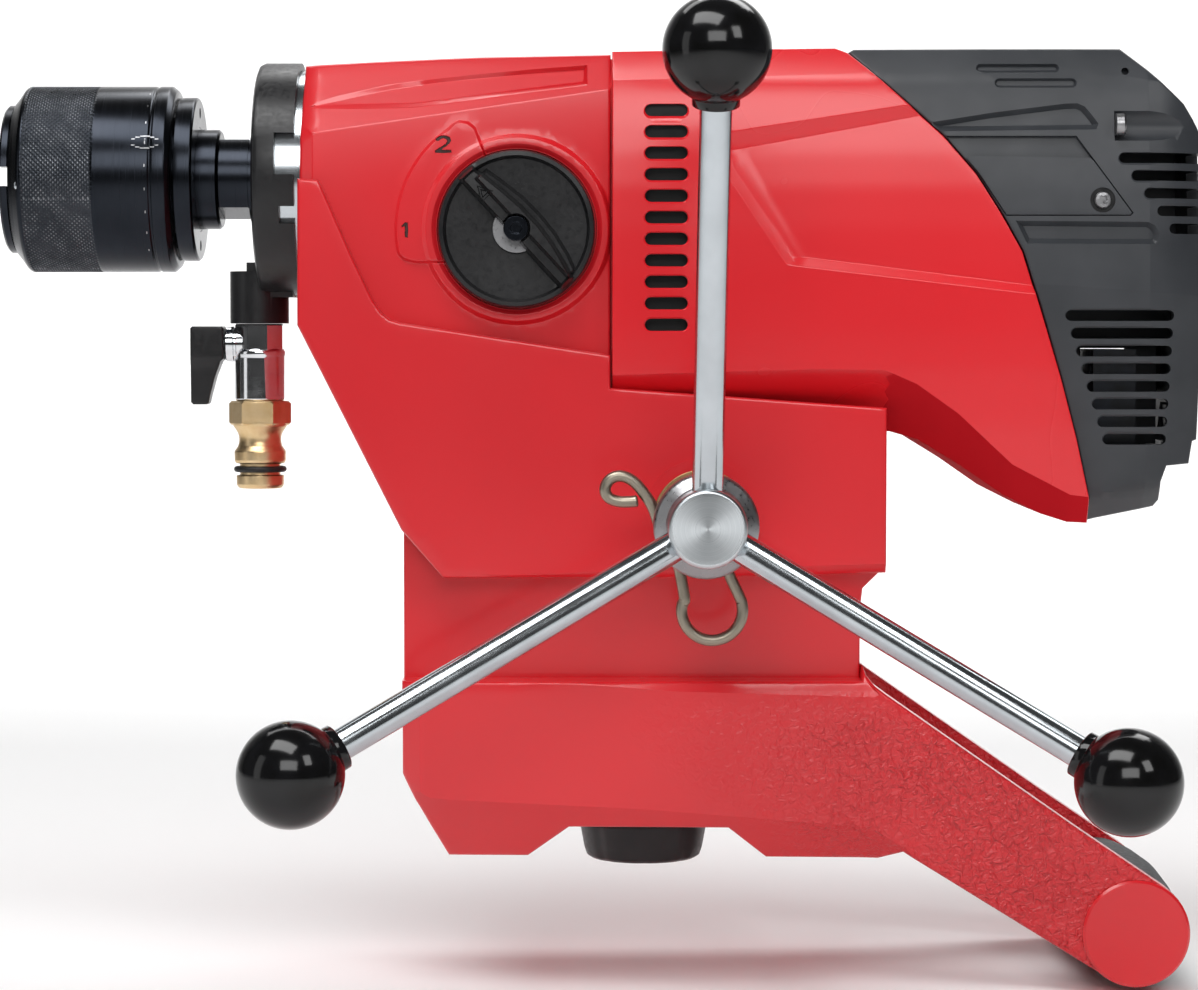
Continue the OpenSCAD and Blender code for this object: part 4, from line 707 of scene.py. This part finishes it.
# ------------------------------------------------------------ feed wheel
WX, WZ = 22.8, 49.5
LEAN = math.radians(20.4); SP_LEN = 147.7 / math.cos(LEAN)
def spoke_dir(a):
    a = math.radians(a); return Vector((math.cos(a)*math.cos(LEAN), -math.sin(LEAN), math.sin(a)*math.cos(LEAN)))
def build_wheel():
    c = Vector((WX, -104, WZ)); sp = []; balls = []; col = []
    def turned(base, d, prof, n=56):
        u = d.orthogonal().normalized(); v = d.cross(u); L = []
        for a, r in prof: L.append([tuple(base + d*a + (u*math.cos(2*math.pi*j/n) + v*math.sin(2*math.pi*j/n))*r) for j in range(n)])
        return prism_data(L)
    for a in (89.5, 209.5, 329.5):
        d = spoke_dir(a)
        sp.append(turned(c, d, [(12.0, 5.0), (13, 5.0), (60, 5.0), (110, 5.0), (SP_LEN - 18, 5.0), (SP_LEN - 6.1, 5.0), (SP_LEN - 6.0, 4.9)], 40))
        R = 16.7; k = SP_LEN
        prof = [(k - R - 1.0, 5.02), (k - R - 1.0, 7.0), (k - R - 0.7, 7.35), (k - R + 1.2, 7.5)]
        import bisect
        a0 = math.asin(7.5 / R)
        for i in range(33):
            t = a0 + (math.pi - a0) * i / 32; prof.append((k - R*math.cos(t), max(0.02, R*math.sin(t))))
        prof = prof[:3] + [(k - R*math.cos(a0) - 0.2, 7.45)] + prof[4:]
        inner = [(k - 6.0, 0.02), (k - 6.0, 5.02)]
        balls.append(turned(c, d, [(k - 6.0, 5.02)] + prof, 64))
    ob = solid("feed_spokes", sp); dress(ob, "handwheel", "bright_steel", ["spokes"], split=40)
    ob = solid("ball_grips", balls); dress(ob, "handwheel", "ball_plastic", ["ball_knobs"], split=40, weighted=False)
    prof = fillet([(-57.4, 8.15), (-57.4, 14.0), (-84, 14.0), (-84.6, 12.6), (-92.6, 12.6), (-93.2, 16.4), (-94.0, 17.1), (-99.8, 17.1), (-100.8, 16.4), (-103.5, 12.9), (-117.0, 12.6), (-118.0, 11.7), (-118.0, 9.8), (-118.0, 5.0), (-118.0, 0.02)], 0.4, 3)
    n = 96; L = [[(WX + r*math.cos(2*math.pi*i/n), a, WZ + r*math.sin(2*math.pi*i/n)) for i in range(n)] for a, r in prof]
    bore = [[(WX + 8.15*math.cos(2*math.pi*i/n), a, WZ + 8.15*math.sin(2*math.pi*i/n)) for i in range(n)] for a in (-112.6,)]
    L = [[(WX + 0.02*math.cos(2*math.pi*i/n), -112.6, WZ + 0.02*math.sin(2*math.pi*i/n)) for i in range(n)]] + bore + L
    ob = solid("wheel_hub", [prism_data(L)])
    for k, a in enumerate((89.5, 209.5, 329.5)):
        cut(ob, solid("sock%d" % k, [turned(c, spoke_dir(a), [(12.0, 5.06), (40.0, 5.06)], 40)]))
    dress(ob, "handwheel", "bright_steel", ["handwheel_hub"], mat=MATS["turned_steel"], split=32)
    ob.data.materials.append(MATS["gear_steel"])
    for p in ob.data.polygons:
        if p.center.y > -0.1034: p.material_index = 1
m = reg("turned_steel", M("turned_steel", (0.46, 0.49, 0.51), 0.26, metal=1.0))
mp = m.n.new("ShaderNodeMapping"); m.l.new(m.co, mp.inputs["Vector"]); mp.inputs["Location"].default_value = (-WX*MM, 0, -WZ*MM)
sx = m.n.new("ShaderNodeSeparateXYZ"); m.l.new(mp.outputs["Vector"], sx.inputs["Vector"])
rr = m.math("SQRT", m.math("ADD", m.math("MULTIPLY", sx.outputs["X"], sx.outputs["X"]), m.math("MULTIPLY", sx.outputs["Z"], sx.outputs["Z"])), 0)
cb = m.n.new("ShaderNodeCombineXYZ"); m.l.new(rr, cb.inputs["X"])
grv = m.noise(1, 4, 0.75, None)
gn = grv.node; m.l.new(cb.outputs["Vector"], gn.inputs["Vector"]); gn.inputs["Scale"].default_value = 2600
m.bump(grv, 0.000012, 0.8); m.roughness(grv, 0.24, 0.38); m.tint(grv, (0.54, 0.58, 0.60), (0.72, 0.75, 0.77))
tg = m.n.new("ShaderNodeTangent"); tg.direction_type = "RADIAL"; tg.axis = "Y"
m.l.new(tg.outputs["Tangent"], m.b.inputs["Tangent"]); m.b.inputs["Anisotropic"].default_value = 0.75
build_wheel()

# ------------------------------------------------------------ carriage
GC = (168.3, -89.6)
def build_carriage():
    plate = [(-78,45.7),(-112.6,114.2),(-112.4,163),(-105.4,162.5),(-94.1,136.5),(-87.5,122.6),(-84.6,118.2),(-81.6,116.0),(-78.2,115.0),(-8,104.2),(-8,93.2),(84.4,86.5),(84.4,31.2),(59,30.4),(8,29.6),(-64,29.6)]
    core = [(-77.9,45.4),(-103.0,95.6),(-9.2,95.6),(-9.2,77.4),(76.8,71.8),(83.2,31.0),(77.4,25.3),(76.5,17.9),(76.5,-48),(-77.9,-36)]
    band = [(-78,-5),(-78,-36.2),(-62.7,-65.2),(-35.9,-65.2),(-21.9,-54.5),(31.7,-54.5),(44.6,-65.2),(82.1,-65.2),(90.3,-62.4),(155.9,-102.9)]
    band += arc(GC[0], GC[1], 18.2, -133, 53, 24)[0:] + [(149.5,-54.9),(85.0,-9.9),(80.6,-6.6),(78.0,-3.4),(76.8,-0.5),(76.5,-5.0)]
    lo = [(-71.9,-42.0),(-68.5,-43.9),(-60,-44.7),(2,-47.7),(76.5,-53.6),(80.5,-54.7),(90.3,-60.6)]
    hi = [(-40,-5.0),(-20,-5.6),(15,-8.2),(76,-10.0)]
    def line(p, X): return np.interp(X, [q[0] for q in p], [q[1] for q in p])
    def b_band(X, Z):
        o = np.maximum(0, -71.8 - X) * 0.75
        o = np.maximum(o, np.where(X < 92, np.maximum(0, line(lo, X) - Z), 0) * 0.62)
        u = np.where((X > -40) & (X < 80), np.maximum(0, Z - line(hi, X)), 0) * 0.55
        return 57.0 - o - u
    def b_plate(X, Z):
        c = line([(-64,29.6),(-20,31.4),(38.4,33.0),(84.4,34.5)], X)
        return 54.0 - np.maximum(0, c - Z) * 0.8
    ob = skin("carriage_casting", plate, b_plate, creases=[[(-40,30.6),(-20,31.4),(38.4,33.0),(85,34.5)]], step=4.0, r=1.1)
    room = solid("room", [prism_data([[(x, y, z) for x, z in [(-125,97),(-9,97),(-9,78),(77,72.2),(100,70.6),(100,215),(-125,215)]] for y in (-48.25, 48.25)])])
    cut(ob, room)
    # the two pivots of the feed shaft
    for s in (-1, 1): cut(ob, solid("boss", [cyl_y(s*50, s*54.6, 20, 22.8, 49.5, 64)]), "UNION")
    cut(ob, skin("core_c", core, lambda X, Z: np.full(X.shape, 42.0), step=6.0, r=0.9), "UNION")
    bd = skin("band_c", band, b_band, creases=[lo, hi, [(-71.8, -4), (-71.8, -42)]], step=3.4, r=1.2)
    cut(bd, solid("gap", [box_data(78.0, 200, -45, 45, -120, 20)]))
    cut(ob, bd, "UNION")
    cut(ob, solid("chan_c", [box_data(-130, 130, -28, 28, -28, 28)]))
    parts = [box_data(-130, 130, -10, 10, 20, 37), box_data(-19.9, 27.1, -16, 16, -36.2, -24), cyl_y(-70, 70, 12.1, *GC, 64)]
    for s in (-1, 1):
        parts += [cyl_y(s*12, s*60, 13, 22.8, 49.5, 64), box_data(-90, -30, min(s*34, s*52), max(s*34, s*52), -40, -11)]
        for x in (-60, -28): parts.append(prism_data([[(x + 4.4*math.cos(2*math.pi*i/24), s*30 + 4.4*math.sin(2*math.pi*i/24), z) for i in range(24)] for z in (80, 100)]))
    cut(ob, solid("bores_c", parts))
    cut(ob, solid("room_c", [cyl_y(-12.4, 12.4, 19.5, 22.8, 49.5, 64), prism_data([[(3.6 + 5.1*math.cos(2*math.pi*i/32), 5.1*math.sin(2*math.pi*i/32), z) for i in range(32)] for z in (-62, -35)])]))
    dress(ob, "frame", "red_casting", ["carriage"], split=28)
build_carriage()

# ------------------------------------------------------------ water feed and small turned pieces
VX = -130.4
def ring_z(prof, n, c, ph=0.0, flat=0.0):
    return [[(c[0] + r*math.cos(2*math.pi*(i+ph)/n), c[1] + r*math.sin(2*math.pi*(i+ph)/n), z) for i in range(n)] for z, r in prof]
def build_water():
    c = (VX, 0)
    # hose nipple: hexagon with turned shoulders, waist, stop ring, groove and rounded tip
    hexr = 9.40 / math.cos(math.radians(30))
    body = fillet([(58.4,0.02),(58.4,5.4),(57.4,5.9),(57.4,7.4),(58.6,8.25),(62.0,8.3),(62.0,7.05),(66.1,7.05),(66.1,8.4),(67.0,8.95),(70.4,9.0),(71.2,8.4),(72.2,7.7),(73.6,7.35),(75.2,7.35),(76.6,7.7),(78.0,8.5),(79.4,9.6),(80.3,9.7),(80.3,6.5),(96.4,6.5),(96.4,4.6),(58.9,4.6),(58.9,0.02)], 0.45, 3)
    prof = [(58.9,4.6),(58.4,5.4)] + fillet([(57.4,5.9),(57.4,7.4),(58.6,8.25),(62.0,8.3),(62.0,7.05),(66.1,7.05),(66.1,8.4),(67.0,8.95),(70.4,9.0),(71.2,8.4),(72.2,7.7),(73.6,7.35),(75.2,7.35),(76.6,7.7),(78.0,8.5),(79.2,9.4),(80.2,9.5)], 0.45, 3) + [(80.2,6.5),(96.4,6.5),(96.4,4.6)]
    L = ring_z(prof, 96, c); n = 96; V = [p for l in L for p in l]; F = []
    for k in range(len(L)):
        k2 = (k + 1) % len(L)
        for i in range(n): j = (i+1) % n; F.append((k*n+i, k*n+j, k2*n+j, k2*n+i))
    ob = solid("hose_nipple_turned", [(V, F)])
    hx = solid("hexagon", [prism_data(ring_z([(79.5, hexr*0.93), (80.1, hexr), (87.3, hexr), (87.9, hexr*0.93)], 6, c))])
    cut(hx, solid("hx_round", [prism_data(ring_z([(79.0, 9.5), (80.6, 11.0), (86.8, 11.0), (88.2, 9.6)], 72, c))]), "INTERSECT")
    cut(hx, solid("hx_bore", [prism_data(ring_z([(78, 6.0), (89, 6.0)], 48, c))]))
    cut(ob, hx, "UNION")
    dress(ob, "frame", "brass", ["hose_nipple"], split=30)
    # valve body: octagon, domed shoulder, barrel and side neck
    oc = solid("valve_body_plated", [prism_data(ring_z([(105.2, 8.3), (105.8, 8.9), (114.2, 8.9), (114.8, 8.5)], 8, c, 0.5))])
    bar = solid("barrel", [prism_data(ring_z(fillet([(88.0,8.2),(88.5,8.7),(103.2,8.7),(104.0,8.95),(105.0,8.95),(106.2,8.3),(106.4,7.4)], 0.4, 3), 72, c))])
    cut(oc, bar, "UNION")
    neck = solid("neck", [prism_data([[(x, r*math.cos(2*math.pi*i/64), 107.7 + r*math.sin(2*math.pi*i/64)) for i in range(64)] for x, r in [(-142.2,5.5),(-141.7,6.1),(-139.4,6.2),(-139.0,5.7),(-138.4,5.7),(-138.0,6.2),(-131,6.2)]])])
    cut(oc, neck, "UNION")
    cut(oc, solid("vb1", [prism_data(ring_z([(84, 6.62), (97, 6.62)], 48, c))]))
    cut(oc, solid("vb2", [prism_data(ring_z([(90, 4.0), (120, 4.0)], 32, c))]))
    cut(oc, solid("vb3", [prism_data([[(VX + r*math.cos(2*math.pi*j/48), r*math.sin(2*math.pi*j/48), 107.7 + 6.4*math.sin(t)) for j in range(48)] for t, r in [(math.radians(-88 + 11*k), 6.4*math.cos(math.radians(-88 + 11*k))) for k in range(17)]])]))
    cut(oc, solid("vb4", [cyl_x(-146, -134, 2.56, 0, 107.7, 32)]))
    dress(oc, "frame", "chrome", ["valve_body"], split=26)
    # lever: block over the stem and a tapered finger tab
    lev = [(-154.1,113.2),(-153.4,113.9),(-143.1,113.9),(-142.5,113.3),(-142.5,102.6),(-143.6,101.7),(-145.6,96.4),(-147.4,89.6),(-147.9,87.3),(-148.6,86.7),(-153.3,86.7),(-154.1,87.5)]
    lo_ = skin("valve_lever_grip", lev, lambda X, Z: 5.9 - 0.05*np.maximum(0, 101-Z) - 0.9*np.clip((107.7-Z)/3.0 - 1.6, 0, 1), step=1.3, r=0.7)
    cut(lo_, solid("stem_h", [cyl_x(-151.1, -141, 2.56, 0, 107.7, 32)]))
    dress(lo_, "water_lever" if "water_lever" in REC["behaviour"]["bodies"] else BODY["valve_lever"], "black_plastic", ["valve_lever"], split=32)
    # clamp knob
    pk = [(-66.2,5.1),(-57.0,5.1)] + fillet([(-57.0,22.1),(-59.8,22.4),(-68.0,20.9),(-71.0,19.9),(-72.1,18.0),(-72.6,12.0),(-72.7,4.0)], 0.6, 3)
    n = 144; L = []
    for z, r in [(-66.2,0.02)] + pk + [(-72.7,0.02)]:
        ring = []
        for i in range(n):
            t = 2*math.pi*i/n; k = 0.35 * max(0.0, math.cos(8*t))**3 if r > 16 else 0.0
            ring.append((3.6 + (r-k)*math.cos(t), (r-k)*math.sin(t), z))
        L.append(ring)
    ob = solid("clamp_knob_grip", [prism_data(L)]); dress(ob, BODY["lock_knob"], "black_plastic", ["lock_knob"], split=40)
build_water()

def spline(P, k=6):
    P = [Vector(p) for p in P]; out = []
    for i in range(len(P) - 1):
        a = P[max(i-1, 0)]; b = P[i]; c_ = P[i+1]; d = P[min(i+2, len(P)-1)]
        for j in range(k):
            t = j / k; out.append(0.5*((2*b) + (c_-a)*t + (2*a-5*b+4*c_-d)*t*t + (3*b-a-3*c_+d)*t*t*t))
    out.append(P[-1]); return out
def build_clip():
    a = math.radians(115.3)
    P = [(WX + 15.4*math.cos(a), WZ + 15.4*math.sin(a)), (WX + 6*math.cos(a), WZ + 6*math.sin(a)), (WX - 4*math.cos(a), WZ - 4*math.sin(a)), (WX - 14*math.cos(a), WZ - 14*math.sin(a))]
    P += [(25 + 9.9*math.cos(math.radians(25 - 230*i/18)), 21.6 + 9.9*math.sin(math.radians(25 - 230*i/18))) for i in range(19)]
    P += [(WX + 14.9*math.cos(math.radians(232 - 46*i/5)), WZ + 14.9*math.sin(math.radians(232 - 46*i/5))) for i in range(6)]
    P += [(6.0, 54.4), (3.0, 59.4), (-0.8, 63.6), (-4.8, 65.2), (-8.2, 64.1), (-9.8, 61.1), (-8.6, 58.2), (-5.2, 56.9), (-1.2, 56.9), (0.9, 57.2)]
    ob = solid("wire_clip_bent", [tube("w", [(p.x, -88.0, p.y) for p in spline([(q[0], q[1]) for q in P], 4)], 1.9, 20)])
    dress(ob, BODY["wire_clip"], "wire", ["wire_clip"], split=60, weighted=False)
build_clip()

def build_screws():
    parts = []
    for s in (-1, 1):
        star = lambda r0, r1, n=36: [r0 + (r1-r0)*(0.5+0.5*math.cos(6*2*math.pi*i/n)) for i in range(n)]
        def turned(prof, pos):
            L = []
            for a, r0, r1 in prof: L.append([pos(a, q, 2*math.pi*i/36) for i, q in enumerate(star(r0, r1))])
            parts.append(prism_data(L))
        head = [(-3.4, 1.9, 1.9), (0, 1.9, 1.9), (0.0, 2.75, 2.75), (1.0, 2.8, 2.8), (1.5, 2.45, 2.45), (1.6, 1.25, 1.7), (0.7, 1.15, 1.6), (0.7, 0.02, 0.02)]
        turned(head, lambda a, r, t, s=s: (156.3 + r*math.cos(t), s*(51.2 + a), 155.9 + r*math.sin(t)))
        big = [(0.15, 3.7, 3.7), (2.6, 3.8, 3.8), (3.3, 3.2, 3.2), (3.3, 1.3, 1.8), (2.2, 1.2, 1.7), (2.2, 0.02, 0.02)]
        turned(big, lambda a, r, t, s=s: (160.5 + a, s*50.3 + s*r*math.cos(t), 181.1 + r*math.sin(t)))
    ob = solid("cover_screw_heads", parts); dress(ob, "frame", "black_steel", ["cover_screws"], split=35, mat=MATS["gear_steel"])
build_screws()
